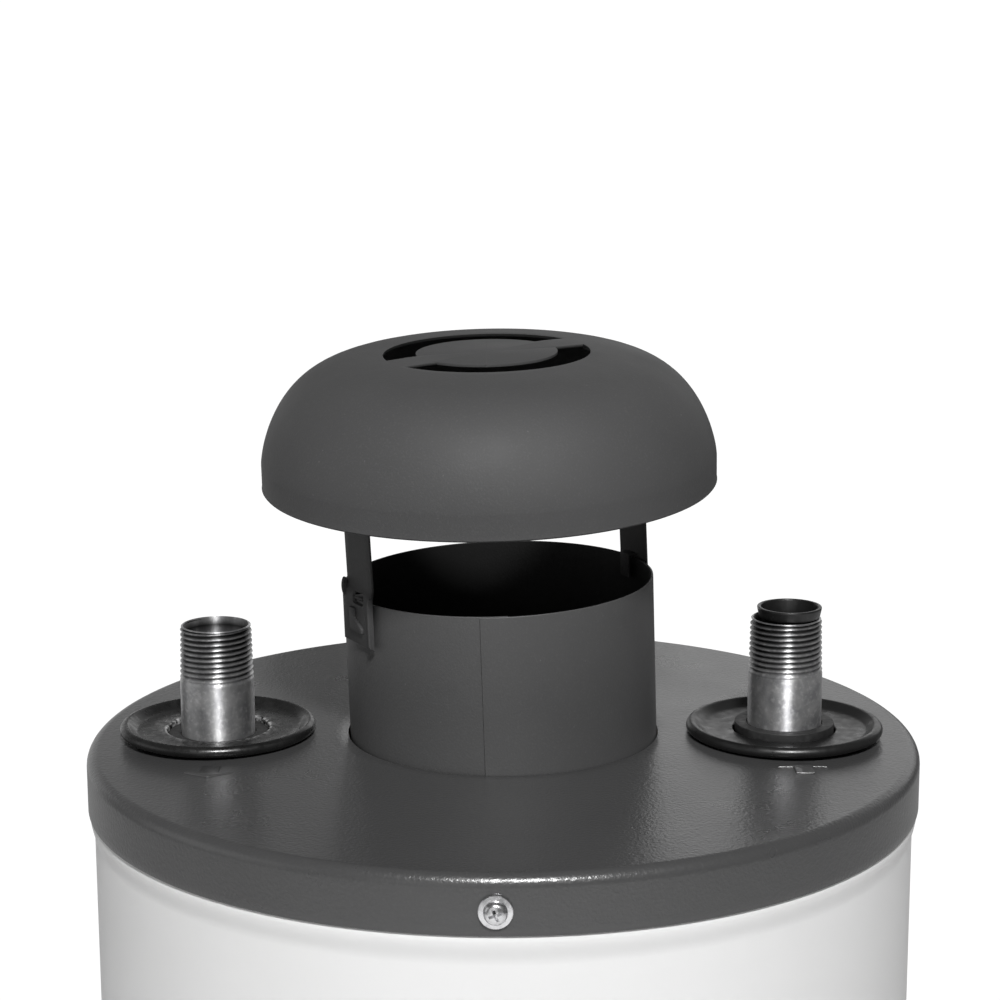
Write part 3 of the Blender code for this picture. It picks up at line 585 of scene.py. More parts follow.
def aluminium():
    """Sand-blasted die casting and drawn tube."""
    look = Look("aluminium", (0.62, 0.62, 0.63), 0.42, 1.0)
    look.patches(12, 5, 0.4, 0.7, 0.7, (0.45, 0.45, 0.46))
    look.worn(3, 4, 0.36, 0.52)
    look.grain(0.5, 3, 0.05)
    return look.material


def magnesium():
    look = Look("magnesium", (0.48, 0.48, 0.47), 0.6, 0.9)
    look.patches(6, 6, 0.45, 0.7, 1, (0.62, 0.62, 0.6))
    look.grain(2, 5, 0.1)
    return look.material


def black_plastic():
    look = Look("black_plastic", (0.008, 0.008, 0.008), 0.3)
    look.patches(7, 6, 0.55, 0.8, 0.4, (0.013, 0.013, 0.013))
    look.worn(3, 5, 0.26, 0.42)
    look.grain(0.35, 2, 0.008)
    return look.material


def scuffed_plastic():
    """The hot grommet's black, rubbed white round its middle."""
    look = Look("scuffed_plastic", (0.007, 0.007, 0.007), 0.24)
    look.patches(6, 5, 0.5, 0.8, 0.5, (0.02, 0.02, 0.02))
    scratch = look.add("Math")
    scratch.operation = "MULTIPLY"
    look.link(look.attribute("rub"), scratch.inputs[0])
    look.link(look.ranged(look.noise(2.2, 8), 0.42, 0.7), scratch.inputs[1])
    look.paint(scratch.outputs[0], (0.34, 0.34, 0.34))
    look.worn(2, 6, 0.2, 0.4)
    look.grain(0.5, 4, 0.015)
    return look.material


def red_plastic():
    look = Look("red_plastic", (0.42, 0.02, 0.014), 0.34)
    look.patches(6, 4, 0.45, 0.8, 0.6, (0.3, 0.014, 0.01))
    look.grain(0.4, 2, 0.01)
    return look.material


def rubber():
    look = Look("rubber", (0.014, 0.014, 0.014), 0.55)
    look.patches(4, 5, 0.5, 0.8, 0.6, (0.04, 0.04, 0.04))
    look.worn(2, 4, 0.45, 0.7)
    look.grain(0.5, 3, 0.02)
    return look.material


def foam():
    look = Look("foam", (0.74, 0.6, 0.33), 0.9)
    look.patches(15, 6, 0.4, 0.7, 1, (0.62, 0.47, 0.22))
    look.bumpy(look.cells(2.5), 0.8)
    return look.material


def printed_white():
    """The pale print of the dial's numbers and marks."""
    look = Look("printed_white", (0.7, 0.7, 0.68), 0.45)
    look.patches(1.5, 4, 0.5, 0.75, 0.5, (0.5, 0.5, 0.48))
    look.grain(0.3, 2, 0.01)
    return look.material


GREY = grey_paint()
WHITE = white_paint()
GALVANISED = galvanised_steel()
STEEL = bare_steel()
IRON = cast_iron()
ZINC = zinc_plate()
BRASS = brass()
COPPER = copper()
ALUMINIUM = aluminium()
MAGNESIUM = magnesium()
BLACK = black_plastic()
RED = red_plastic()
RUBBER = rubber()
FOAM = foam()
HOOD_GREY = matt_grey_paint("hood_paint", 0.58, 0.2)
COLLAR_GREY = matt_grey_paint("collar_paint", 0.5, 0.55)
PRINT = printed_white()


# Hood, collar and cover

LEG_REACH = COLLAR_R + 0.4 * mm
LEG_FOOT_LOW = COLLAR_HEIGHT - 15.5 * mm
LEG_FOOT_HIGH = COLLAR_HEIGHT + 4.6 * mm
LEG_JOGGLES = {"left": 1.4 * mm, "right": -0.7 * mm}  # how far each strap stands in from its foot
LEG_HALF = 9.5 * mm
LEG_FOOT_HALF = 11 * mm
SEAM_BEARING = math.radians(-6.3)
ACROSS = Matrix(((0, 0, 1, 0), (1, 0, 0, 0), (0, 1, 0, 0), (0, 0, 0, 1)))  # (a, b, c) to (c, a, b)
FACING_FRONT = spun("X", 90)  # (a, b, c) to (a, -c, b)


def crown_point(angle, thickness=0.0):
    """A point of the hood's section, on a superellipse; the angle runs from the wall to the top."""
    across = max(math.cos(angle), 0) ** 0.36
    up = math.sin(angle) ** 1.35
    return ((HOOD_R - thickness) * across, HOOD_WALL + (HOOD_CROWN - thickness) * up)


def crown_height(radius, thickness=0.0):
    angle = math.acos((radius / (HOOD_R - thickness)) ** (1 / 0.36))
    return crown_point(angle, thickness)[1]


def crown_line(thickness):
    """The curve from the middle of the crown out to the wall."""
    count = 44
    line = [(0.0, HOOD_WALL + HOOD_CROWN - thickness)]
    for i in range(1, count):
        line.append(crown_point(math.pi / 2 * (1 - i / count) ** 1.6, thickness))
    return line + [(HOOD_R - thickness, HOOD_WALL)]


def vent_cutter():
    """Two slots: what an oval leaves round a rounded island, less a bridge across it."""
    low = HOOD_WALL + 20 * mm
    high = HOOD_WALL + 60 * mm
    wide = HOOD_FRAME @ at(0, -0.6 * mm) @ Matrix.Scale(0.9, 4, (0, 1, 0))
    oval = turned("vents", rod_section(36.6 * mm, low, high, 0.1), None, wide)
    narrow = HOOD_FRAME @ Matrix.Scale(0.88, 4, (0, 1, 0))
    disc = turned("disc", rod_section(25 * mm, low - mm, high + mm, 0.1), None, narrow)
    turn = HOOD_FRAME @ spun("Z", -62.5)
    half = 6.3 * mm
    bridge = block("bridge", (-half, -50 * mm, low - mm), (half, 50 * mm, high + mm), None, turn)
    return cut(oval, disc, bridge)


def mark_shaded_inside(obj, centre):
    """Marks the points that face a centre, where the inside of a sheet gets painted shade."""
    marks = obj.data.attributes.new("inside", "FLOAT", "POINT")
    for vertex, mark in zip(obj.data.vertices, marks.data):
        mark.value = float(vertex.normal.dot(vertex.co - centre) < 0)
    return obj


def hood_dome():
    outside = crown_line(0)
    inside = crown_line(HOOD_SHEET)
    hem = [
        (HOOD_R, 1.2 * mm), (HOOD_R + 0.15 * mm, 0.5 * mm), (HOOD_R - 0.25 * mm, 0),
        (HOOD_R - HOOD_SHEET, 0),
    ]
    wall = dense([(HOOD_R, HOOD_WALL), hem[0]], 1.5)[1:]
    profile = outside + wall + hem[1:] + inside[::-1]
    dome = turned("dome", profile, HOOD_GREY, HOOD_FRAME, steps=160)
    cut(dome, vent_cutter())
    rounded_edges(dome, 0.22, 2)
    # marks the dome's inside faces for painted shade
    mark_shaded_inside(baked(dome), HOOD_FRAME @ Vector(mm3(0, 0, 5)))
    fit(dome, "hood", "grey_paint", "hood_dome")


def leg_edges(side, foot, top, joggle, high):
    """The route of one edge of a leg's strap, from the foot up and in under the crown."""
    strap_reach = LEG_REACH - joggle
    route = [
        foot @ Vector((side * LEG_FOOT_HALF, -LEG_REACH, LEG_FOOT_LOW)),
        foot @ Vector((side * LEG_FOOT_HALF, -LEG_REACH, high - 2.4 * mm)),
        foot @ Vector((side * LEG_HALF, -strap_reach, high)),
    ]
    for radius in (strap_reach, 44 * mm):
        height = crown_height(radius, HOOD_SHEET) - 3.4 * mm
        route.append(top @ Vector((side * LEG_HALF, -radius, height)))
    return bent(route, 1.2 * mm, 4)


def leg_flange(foot, high):
    """The near edge of the foot, folded outwards."""
    near = LEG_REACH + 0.3 * mm
    far = LEG_REACH + 1.7 * mm
    outline = [
        (-near, LEG_FOOT_LOW), (-far, LEG_FOOT_LOW + 0.8 * mm), (-far, high - 3 * mm),
        (-near, high - 1 * mm),
    ]
    edge = LEG_FOOT_HALF - 0.4 * mm
    turn = foot @ ACROSS
    flange = extruded("flange", softened(outline, 1.2), edge - 0.4 * mm, edge + 0.4 * mm, GREY, turn)
    return rounded_edges(flange, 0.25, 2)


def leg_ear(foot):
    """The far shoulder of the foot, curled over."""
    place = foot @ at(0, -LEG_REACH - 0.1 * mm, LEG_FOOT_HIGH - 1.2 * mm) @ ACROSS
    outline = [(1.2 * mm * math.cos(TURN * k / 24), 3.4 * mm * math.sin(TURN * k / 24)) for k in range(24)]
    ear = extruded("ear", outline, -LEG_FOOT_HALF + 0.7 * mm, -LEG_FOOT_HALF + 2.2 * mm, HOOD_GREY, place)
    return rounded_edges(ear, 0.4, 2)


def leg_tongue(foot):
    """The tab pressed out of the foot under its window."""
    outline = mms((-5, 4.4), (4.5, 4.4), (4.5, 6.2), (-0.8, 9.4), (-0.8, 12.8), (-5, 12.8), up=LEG_FOOT_LOW)
    high = LEG_REACH + 1.3 * mm
    tongue = extruded("tongue", softened(outline, 0.5), LEG_REACH, high, GREY, foot @ FACING_FRONT)
    return rounded_edges(tongue, 0.3, 2)


def leg_hook(foot):
    """The hook through the foot's window that holds it on the collar's rim."""
    over = COLLAR_HEIGHT + 0.6 * mm
    inner = COLLAR_R - 2.4 * mm
    outline = [
        (-LEG_REACH, over), (-LEG_REACH, over + 0.8 * mm), (-inner + 0.8 * mm, over + 0.8 * mm),
        (-inner + 0.8 * mm, over - 8 * mm), (-inner, over - 8 * mm), (-inner, over),
    ]
    hook = extruded("hook", outline, -3 * mm, 3 * mm, GREY, foot @ ACROSS)
    return rounded_edges(hook, 0.2, 2)


def hood_leg(side, bearing):
    turn = spun("Z", bearing)
    foot = COLLAR_FRAME @ turn
    top = HOOD_FRAME @ turn
    high = LEG_FOOT_HIGH if side == "left" else COLLAR_HEIGHT - 1 * mm
    left = leg_edges(-1, foot, top, LEG_JOGGLES[side], high)
    right = leg_edges(1, foot, top, LEG_JOGGLES[side], high)
    rows = [[a.lerp(b, k / 6) for k in range(7)] for a, b in zip(left, right)]
    strap = sheet("strap", rows, SHEET, HOOD_GREY)
    details = [leg_flange(foot, high), leg_tongue(foot), leg_hook(foot)]
    if side == "left":
        window_low = (-3.2 * mm, -LEG_REACH - 3 * mm, COLLAR_HEIGHT - 1.4 * mm)
        window_high = (5.2 * mm, -LEG_REACH + 0.9 * mm, COLLAR_HEIGHT + 3.6 * mm)
        window = block("window", window_low, window_high, None, foot)
        rounded_edges(window, 1.6, 4)
        cut(strap, window)
        details.append(leg_ear(foot))
    rounded_edges(strap, 0.25, 2)
    leg = merged(f"leg_{side}", strap, *details)
    fit(leg, "hood", "grey_paint", f"hood_leg_{side}")


def hood_legs():
    hood_leg("left", -60.6)
    hood_leg("right", 117.2)


def flue_collar():
    """One strip of sheet rolled round until its ends overlap, the outer end on the right of the seam."""
    lap = math.radians(10)
    columns = 200
    foot = -8.2 * mm
    levels = [foot, -4 * mm, -0.5 * mm, 1.5 * mm] + [4 * mm + 5 * mm * k for k in range(12)]
    rows = []
    for z in levels:
        row = []
        for i in range(columns + 1):
            run = (TURN + lap) * i / columns
            radius = COLLAR_R - SHEET / 2 + 0.45 * mm - 0.9 * mm * run / TURN
            swell = 0.5 * mm * math.exp(-((run / 0.04) ** 2) - (z / (3 * mm)) ** 2)
            bearing = SEAM_BEARING + run
            spot = Vector(((radius + swell) * math.sin(bearing), -(radius + swell) * math.cos(bearing), z))
            row.append(COLLAR_FRAME @ spot)
        rows.append(row)
    collar = sheet("collar", rows, SHEET, COLLAR_GREY)
    rounded_edges(collar, 0.24, 3)
    # marks the collar's inside faces for painted shade
    mark_shaded_inside(baked(collar), COLLAR_FRAME @ Vector(mm3(0, 0, 30)))
    fit(collar, "heater", "grey_paint", "flue_collar")


def collar_base_ring():
    low = high_z("flue_tube") + 0.5 * mm
    flange = low + 1.2 * mm
    top = high_z("collar_base_ring")
    profile = [
        (52.8 * mm, top), (53.6 * mm, top), (53.6 * mm, flange), (60 * mm, flange), (60 * mm, low),
        (40 * mm, low), (40 * mm, flange), (52.8 * mm, flange),
    ]
    ring = turned("flue_ring", softened(profile, 0.3), GALVANISED, steps=128)
    fit(ring, "heater", "galvanised_steel", "collar_base_ring")


def arrow(side, distance, front):
    """A plain arrow stamped in the cover in front of a pipe, pointing to the front or to the pipe."""
    wide = 9 * mm
    slim = 3.4 * mm
    half = 6 * mm
    outline = [
        (-slim, half), (slim, half), (slim, -mm), (wide, -mm), (0, -half), (-wide, -mm), (-slim, -mm)
    ]
    spot = PIPES[side] @ Vector((2 * mm, -distance, COVER_TOP + crown(113 * mm)))
    place = Matrix.Translation(spot) @ spun("Z", 0 if front else 180)
    shape = extruded("arrow", outline, -0.5 * mm, 0.55 * mm, GREY, place)
    return rounded_edges(shape, 0.5, 3)


def crown(radius):
    """How far the cover rises towards its middle."""
    return 1.5 * mm * max(0, 1 - (radius - 57 * mm) / (87 * mm))


def pan_section(hole, depth, corner, thickness):
    """Half the section of a shallow pan, turned over, with a rounded corner."""
    outer = []
    inner = []
    for k in range(9):
        angle = math.pi / 2 * k / 8
        x = math.sin(angle)
        z = math.cos(angle) - 1
        outer.append((RADIUS - corner + corner * x, corner * z))
        small = corner - thickness
        inner.append((RADIUS - corner + small * x, small * z - thickness))
    outer = dense([(hole, 0), outer[0]], 5) + outer[1:]
    outer += dense([outer[-1], (RADIUS, -depth)], 3)[1:]
    inner = [(RADIUS - thickness, -depth)] + inner[::-1] + [(hole, -thickness)]
    return outer + inner


def top_cover():
    flat = pan_section(COLLAR_R + 0.6 * mm, 19.6 * mm, 4.3 * mm, SHEET)
    section = [(r, z + crown(r)) for r, z in flat]
    cover = turned("cover", section, GREY, at(0, 0, COVER_TOP), steps=192)
    hole = rod_section(19 * mm, COVER_TOP - 9 * mm, COVER_TOP + 9 * mm)
    cut(cover, *[turned("pipe_hole", hole, None, place) for place in PIPES.values()])
    rounded_edges(cover, 0.2, 2)
    cover = merged("cover_sheet", cover, arrow("hot", 46.4 * mm, True), arrow("cold", 41.5 * mm, False))
    fit(cover, "heater", "grey_paint", "top_cover")


def cover_screw(side, bearing):
    """A pan-head screw with a washer face and a cross recess."""
    seat = RADIUS + 0.3 * mm
    profile = mms(
        (0, 3.4), (1.6, 3.34), (2.8, 3), (3.5, 2.4), (3.75, 1.6), (3.85, 1), (5.3, 0.8), (5.5, 0.55),
        (5.4, 0), (1.9, 0), (1.9, -4.5), (0, -6), up=seat
    )
    place = outward(bearing, COVER_TOP - 11.5 * mm)
    screw = turned(f"screw_{side}", profile, ZINC, place, steps=64)
    slots = []
    for turn in (20, 110):
        spin = place @ spun("Z", turn)
        low = (-2.2 * mm, -0.5 * mm, seat + 1.6 * mm)
        slots.append(block("cross", low, (2.2 * mm, 0.5 * mm, seat + 5 * mm), None, spin))
    cut(screw, *slots)
    rounded_edges(screw, 0.15, 2)
    fit(screw, "heater", "zinc_plate", f"cover_screw_{side}")


def cover_screws():
    for side, bearing in (("front", -1), ("left", -121), ("right", 119)):
        cover_screw(side, bearing)


# Pipes through the cover


def nipple(side):
    """A pipe nipple with a tapered thread and a bore that is reamed at its mouth."""
    top = high_z(f"nipple_{side}")
    bottom = low_z(f"nipple_{side}")
    thread_low = top - 20.3 * mm
    outside = [
        (PIPE_R - 1.2 * mm, top), (PIPE_R - 0.8 * mm, top - 0.3 * mm), (PIPE_R - 0.45 * mm, top - 1.3 * mm),
        (PIPE_R, thread_low),
    ]
    outside = dense(outside, 0.2) + [(PIPE_R, bottom)]
    mouth = [
        (PIPE_BORE_R, bottom), (PIPE_BORE_R, top - 9 * mm), (11.6 * mm, top - 3 * mm), (11.8 * mm, top)
    ]
    relief = thread(thread_low, top - 0.4 * mm, 1.93 * mm, 0.95 * mm, PIPE_R - 1.1 * mm, 1.5)
    pipe = turned(f"pipe_{side}", outside + mouth, threaded_steel(), PIPES[side], relief=relief, sharp=60)
    # painted shade: how deep each point lies in a thread root, which the threaded steel paints dark
    shaded_root = pipe.data.attributes.new("shaded_root", "FLOAT", "POINT")
    centre = PIPES[side].translation.xy
    for vertex, mark in zip(pipe.data.vertices, shaded_root.data):
        depth = PIPE_R - (vertex.co.xy - centre).length
        cut_here = thread_low < vertex.co.z < top - 0.4 * mm and depth < 2.2 * mm
        mark.value = min(1, max(0, (depth - 0.45 * mm) / (0.7 * mm))) if cut_here else 0
    fit(pipe, "heater", "galvanised_steel", f"nipple_{side}")


def nipples():
    for side in PIPES:
        nipple(side)


GROMMET_LOW = COVER_TOP + 0.5 * mm


def bead(low):
    """The rolled edge of a grommet, clear of the cover, from its inner side round to its underside."""
    return mms(
        (31.4, 4.2), (32.4, 5), (33.6, 5.2), (34.8, 4.6), (35.5, 3.4), (35.3, 2.2), (34.2, 1.2),
        (32.6, 1.1), (30.8, 1.3), (29, 0), up=low
    )


def hot_grommet():
    """A dished plastic ring with a rolled edge and a sunken middle."""
    low = GROMMET_LOW
    profile = mms((18.4, 0.4), (18.5, 2.2), (19.3, 2.7), (21.6, 2.5), (26.5, 2.4), (29.6, 2.8), up=low)
    profile += bead(low) + [(18.4 * mm, low)]
    ring = turned("ring_hot", softened(profile, 0.8), scuffed_plastic(), PIPES["hot"], steps=128)
    rub = ring.data.attributes.new("rub", "FLOAT", "POINT")
    centre = PIPES["hot"].translation.xy
    for vertex, mark in zip(ring.data.vertices, rub.data):
        from_edge = (vertex.co.xy - centre).length - 18.7 * mm
        ring_of_wear = 1.5 * math.exp(-((from_edge / (0.7 * mm)) ** 2))
        mark.value = ring_of_wear + 0.2 * math.exp(-from_edge / (4 * mm))
    fit(ring, "heater", "black_plastic", "grommet_hot")


def cold_grommet():
    """A shallow dish with a raised round rim."""
    low = GROMMET_LOW
    profile = mms((18.4, 2.6), (24, 2.3), (29.2, 2.7), up=low)
    profile += bead(low) + [(18.4 * mm, low)]
    ring = turned("ring_cold", softened(profile, 1), BLACK, PIPES["cold"], steps=128)
    fit(ring, "heater", "black_plastic", "grommet_cold")


def seal_rings():
    for side, place in PIPES.items():
        node = f"seal_ring_{side}"
        section = ring_section(PIPE_R + 0.3 * mm, 17.9 * mm, low_z(node), high_z(node), 0.3)
        ring = turned(f"washer_{side}", section, RUBBER, place)
        fit(ring, "heater", "rubber", node)


def dip_tube():
    outer = PIPE_BORE_R - 0.4 * mm
    inner = 8.8 * mm
    top = high_z("dip_tube")
    lip_low = top - 3.9 * mm
    foot = low_z("dip_tube")
    profile = [
        (10.2 * mm, top - 0.2 * mm), (10.8 * mm, top), (11.5 * mm, top - 0.1 * mm),
        (11.6 * mm, top - 0.6 * mm), (10.9 * mm, lip_low), (outer, lip_low), (outer, foot), (inner, foot),
        (inner, lip_low - 6 * mm),
    ]
    liner = turned("liner", softened(profile, 0.3), BLACK, PIPES["cold"])
    for vertex in liner.data.vertices:
        if vertex.co.z > lip_low - 0.3 * mm:
            vertex.co.x += 1.1 * mm
    fit(liner, "heater", "black_plastic", "dip_tube")


# Jacket, doors, base and feet

SIDE_PORTS = {"control": (0, 285, 0), "drain": (-90, 258, -1), "relief": (90, 600, 0)}


def port_cutters(radius):
    """Rods through a wall at the side ports: bearing, height and what is added to the radius."""
    return [
        drill(radius + more, 100, 160, outward(side, z * mm), 64) for side, z, more in SIDE_PORTS.values()
    ]


def jacket():
    """The painted wall, which swells under the cover's edge, with a folded seam at the back."""
    low = low_z("jacket")
    top = high_z("jacket")
    neck = COVER_TOP - 18 * mm
    outside = [(148.2 * mm, top), (148.2 * mm, neck), (149.2 * mm, neck - 2 * mm)]
    for k in range(17):
        t = k / 16
        swell = 0.5 + 0.5 * math.cos(math.pi * t)
        outside.append((147.9 * mm + 1.5 * mm * swell, neck - 3.4 * mm - 8.6 * mm * t))
    outside += [(147.9 * mm, 222 * mm), (147.9 * mm, 190 * mm), (147.9 * mm, low)]
    inside = [(r - SHEET, z) for r, z in reversed(outside)]
    shell = turned("wall", outside + inside, WHITE, steps=192)
    front = -160 * mm
    back = -120 * mm
    window = block("window", (-44 * mm, front, 84 * mm), (44 * mm, back, 184 * mm), None)
    slot = block("slot", (-14 * mm, front, 195 * mm), (38 * mm, back, 219 * mm), None)
    cut(shell, window, slot, *port_cutters(12.5))
    rounded_edges(shell, 0.15, 1)
    seam = block("seam", (-6 * mm, 147.5 * mm, low), mm3(6, 148.6, 730), WHITE, edge=0.4)
    wall = merged("jacket_wall", shell, seam)
    fit(wall, "heater", "white_paint", "jacket")


def curved_panel(name, radius, half_angle, low, high, thickness, look, columns=48, levels=40):
    bearings = [half_angle * (2 * i / columns - 1) for i in range(columns + 1)]
    heights = [low + (high - low) * k / levels for k in range(levels + 1)]
    rows = [[(radius * math.sin(b), -radius * math.cos(b), z) for b in bearings] for z in heights]
    return sheet(name, rows, thickness, look)


def louvre(height, radius):
    """A hooded slot in the door, open at its bottom."""
    half = 31 * mm
    rows = []
    for k in range(9):
        t = k / 8
        lift = 3.4 * mm * math.sin(math.pi / 2 * t)
        z = height + 7.5 * mm * math.cos(math.pi / 2 * t) ** 0.8
        row = []
        for i in range(25):
            across = 2 * i / 24 - 1
            ease = (1 - across**6) ** 0.5
            bearing = half * across / radius
            reach_out = radius + 0.2 * mm + lift * ease
            row.append((reach_out * math.sin(bearing), -reach_out * math.cos(bearing), z))
        rows.append(row)
    return sheet("louvre", rows, SHEET, GREY)


def outer_door():
    radius = 149.1 * mm
    door = curved_panel("door", radius, math.radians(22), 77.5 * mm, 190 * mm, 1 * mm, GREY)
    slots = []
    hoods = []
    for i in range(3):
        z = 104 * mm + 14 * mm * i
        slots.append(block("slot", (-30 * mm, -160 * mm, z), (30 * mm, -140 * mm, z + 4 * mm), None))
        hoods.append(louvre(z, radius))
    cut(door, *slots)
    rounded_edges(door, 0.2, 2)
    lip_rows = [[(x * mm, -y * mm, z * mm) for x in range(-22, 23, 4)] for y, z in
                ((149.2, 183.6), (152, 183.7), (155.4, 183.8), (156.4, 183.2), (156.5, 181.4))]
    lip = sheet("lip", lip_rows, 1 * mm, GREY, 0.2)
    panel = merged("door_outer_panel", door, lip, *hoods)
    fit(panel, "door_outer", "grey_paint", "outer_door")


def inner_door():
    door = curved_panel("door", 127 * mm, math.radians(23), 82 * mm, 184 * mm, 1 * mm, GALVANISED)
    rounded_edges(door, 0.2, 2)
    tab_rows = [[(x * mm, -y * mm, z * mm) for x in (-8, -4, 0, 4, 8)] for y, z in
                ((127.2, 128.8), (133, 128.8), (134.4, 129.4), (134.6, 131.5))]
    tab = sheet("tab", tab_rows, 1.2 * mm, GALVANISED, 0.2)
    glass_rim = ring_mm(7, 9, 127, 128.4, 0.4)
    rim = turned("rim", glass_rim, GALVANISED, outward(0, 160 * mm), steps=48)
    panel = merged("door_inner_panel", door, tab, rim)
    fit(panel, "door_inner", "galvanised_steel", "inner_door")


def combustion_skirt():
    low = low_z("combustion_skirt")
    high = high_z("combustion_skirt")
    section = ring_section(123 * mm, 124.5 * mm, low, high)
    skirt = turned("skirt", section, STEEL, steps=160)
    window = block("window", mm3(-42, -140, 86), mm3(42, -100, 180), None)
    slot = block("slot", mm3(-14, -140, 196), mm3(38, -100, 217), None)
    cut(skirt, window, slot)
    rounded_edges(skirt, 0.2, 2)
    fit(skirt, "heater", "bare_steel", "combustion_skirt")


def base_pan():
    section = [(r, -z) for r, z in reversed(pan_section(30 * mm, 25 * mm, 6 * mm, 1 * mm))]
    pan = turned("pan", section, GREY, at(0, 0, low_z("base_pan")), steps=160)
    cutters = []
    for i in range(6):
        bearing = math.radians(35 + 60 * i)
        place = at(85 * mm * math.sin(bearing), -85 * mm * math.cos(bearing), low_z("base_pan"))
        cutters.append(drill(9, -9, 9, place))
    cut(pan, *cutters)
    rounded_edges(pan, 0.25, 2)
    fit(pan, "heater", "grey_paint", "base_pan")


def feet():
    top = high_z("foot_left")
    profile = [
        (0, top), (20 * mm, top), (20 * mm, top - 4 * mm), (13 * mm, top - 9 * mm), (12 * mm, 9 * mm),
        (18 * mm, 4 * mm), (18 * mm, 0), (0, 0),
    ]
    relief = flutes(18, 0.6 * mm, 10 * mm, top - 10 * mm, 11 * mm)
    shape = dense(softened(profile, 1.5, closed=False, steps=5), 2)
    for side in ("left", "right", "back"):
        place = at(middle(f"foot_{side}").x, middle(f"foot_{side}").y)
        foot = turned(f"leveller_{side}", shape, BLACK, place, steps=108, relief=relief, sharp=50)
        fit(foot, "heater", "black_plastic", f"foot_{side}")


# Burner and its lines


def burner():
    profile = mms((0, 150), (50, 148), (60, 141), (60, 128), (50, 120), (0, 120))
    shape = dense(softened(profile, 3, closed=False), 2)
    ports = flutes(48, 1.6 * mm, 137 * mm, 147 * mm, 51 * mm, 3)
    head = turned("burner_cap", shape, IRON, steps=384, relief=ports, sharp=60)
    fit(head, "heater", "cast_iron", "burner_head")
    horn = mms((0, 16), (9.5, 16), (9.5, 58), (15.5, 76), (17.5, 76), (13, 58), (13, -14), (0, -14))
    place = outward(0, 96 * mm)
    mixer = turned("mixer", softened(horn, 1, closed=False), IRON, place, steps=64)
    neck = turned("neck", rod_mm(11, 96, 119.6), IRON, steps=48)
    fit(merged("mixer_tube", mixer, neck), "heater", "cast_iron", "burner_venturi")
    orifice = mms((0, 91), (7, 91), (7, 80), (4, 78), (4, 68), (0, 68))
    shape = dense(softened(orifice, 0.4, closed=False), 2)
    jet = turned("jet", shape, BRASS, place, steps=48, relief=hexagon(80 * mm, 91 * mm, 6 * mm))
    fit(jet, "heater", "brass", "burner_orifice")


def burner_bracket():
    reach_x = 52 * mm
    low = 52.5 * mm
    high = 118 * mm
    lip = 34 * mm
    section = [
        (-lip, high), (-reach_x, high), (-reach_x, low), (reach_x, low), (reach_x, high), (lip, high)
    ]
    rows = []
    for k in range(5):
        y = -10 * mm + 5 * mm * k
        rows.append(bent([(x, y, z) for x, z in section], 4 * mm))
    fit(sheet("bracket", rows, 2 * mm, GALVANISED, 0.4), "heater", "galvanised_steel", "burner_bracket")


def pilot():
    x = 20 * mm
    y = -72 * mm
    profile = mms((0, 144), (4, 144), (6.5, 136), (5, 134), (5, 118), (0, 118))
    hood = turned("pilot", softened(profile, 0.8, closed=False), BRASS, at(x, y), steps=48)
    low = (x - 8 * mm, y - 7 * mm, 124 * mm)
    shelf = block("shelf", low, (x + 18 * mm, y + 7 * mm, 125.5 * mm), BRASS, edge=0.4)
    leg_low = (x + 3 * mm, y + 5 * mm, 51.5 * mm)
    leg = block("leg", leg_low, (x + 11 * mm, y + 6.5 * mm, 125 * mm), BRASS, edge=0.4)
    probe_hole = drill(2.5, 120, 130, at(x + 12 * mm, y), 32)
    cut(shelf, probe_hole)
    fit(merged("pilot_hood", hood, shelf, leg), "heater", "brass", "pilot_burner")


def gas_lines():
    """The three lines from the control back through the slot over the door, with their nuts."""
    bottom = 240 * mm - 0.4 * mm
    out_y = -188 * mm
    drop_y = -106 * mm
    pass_z = 207 * mm
    pilot_y = -72 * mm
    ends = {
        "burner_tube": [(drop_y, 96 * mm), (-91.4 * mm, 96 * mm)],
        "pilot_tube": [(drop_y, 104 * mm), (pilot_y, 104 * mm), (pilot_y, 117.6 * mm)],
        "thermocouple": [(drop_y, 110 * mm), (pilot_y, 110 * mm), (pilot_y, 143 * mm)],
    }
    lines = [
        ("burner_tube", 0, 6.35 * mm, 12 * mm, "aluminium", ALUMINIUM),
        ("pilot_tube", 20 * mm, 3 * mm, 8 * mm, "aluminium", ALUMINIUM),
        ("thermocouple", 32 * mm, 1.8 * mm, 8 * mm, "copper", COPPER),
    ]
    for node, x, radius, bend, slot, look in lines:
        start = [(out_y, bottom), (out_y, pass_z), (drop_y, pass_z)]
        route = bent([(x, y, z) for y, z in start + ends[node]], bend)
        line = tube(f"{node}_line", route, radius, look)
        fit(line, "heater", slot, node)
        size = radius + 3.2 * mm
        profile = dense(rod_section(size, 227 * mm, bottom - 0.1 * mm, 0.6), 2)
        flats = hexagon(229 * mm, bottom, 3 * mm)
        nut = turned(f"{node}_nut", profile, BRASS, at(x, out_y), steps=48, relief=flats)
        fit(nut, "heater", "brass")


# Gas control

DIAL_PLACE = outward(0, middle("temperature_dial").z, -VALVE_LOW.y)
KNOB_PLACE = at(middle("gas_cock_knob").x, CONTROL_Y, VALVE_HIGH.z)
BUTTON_PLACE = at(middle("pilot_button").x, CONTROL_Y, VALVE_HIGH.z)


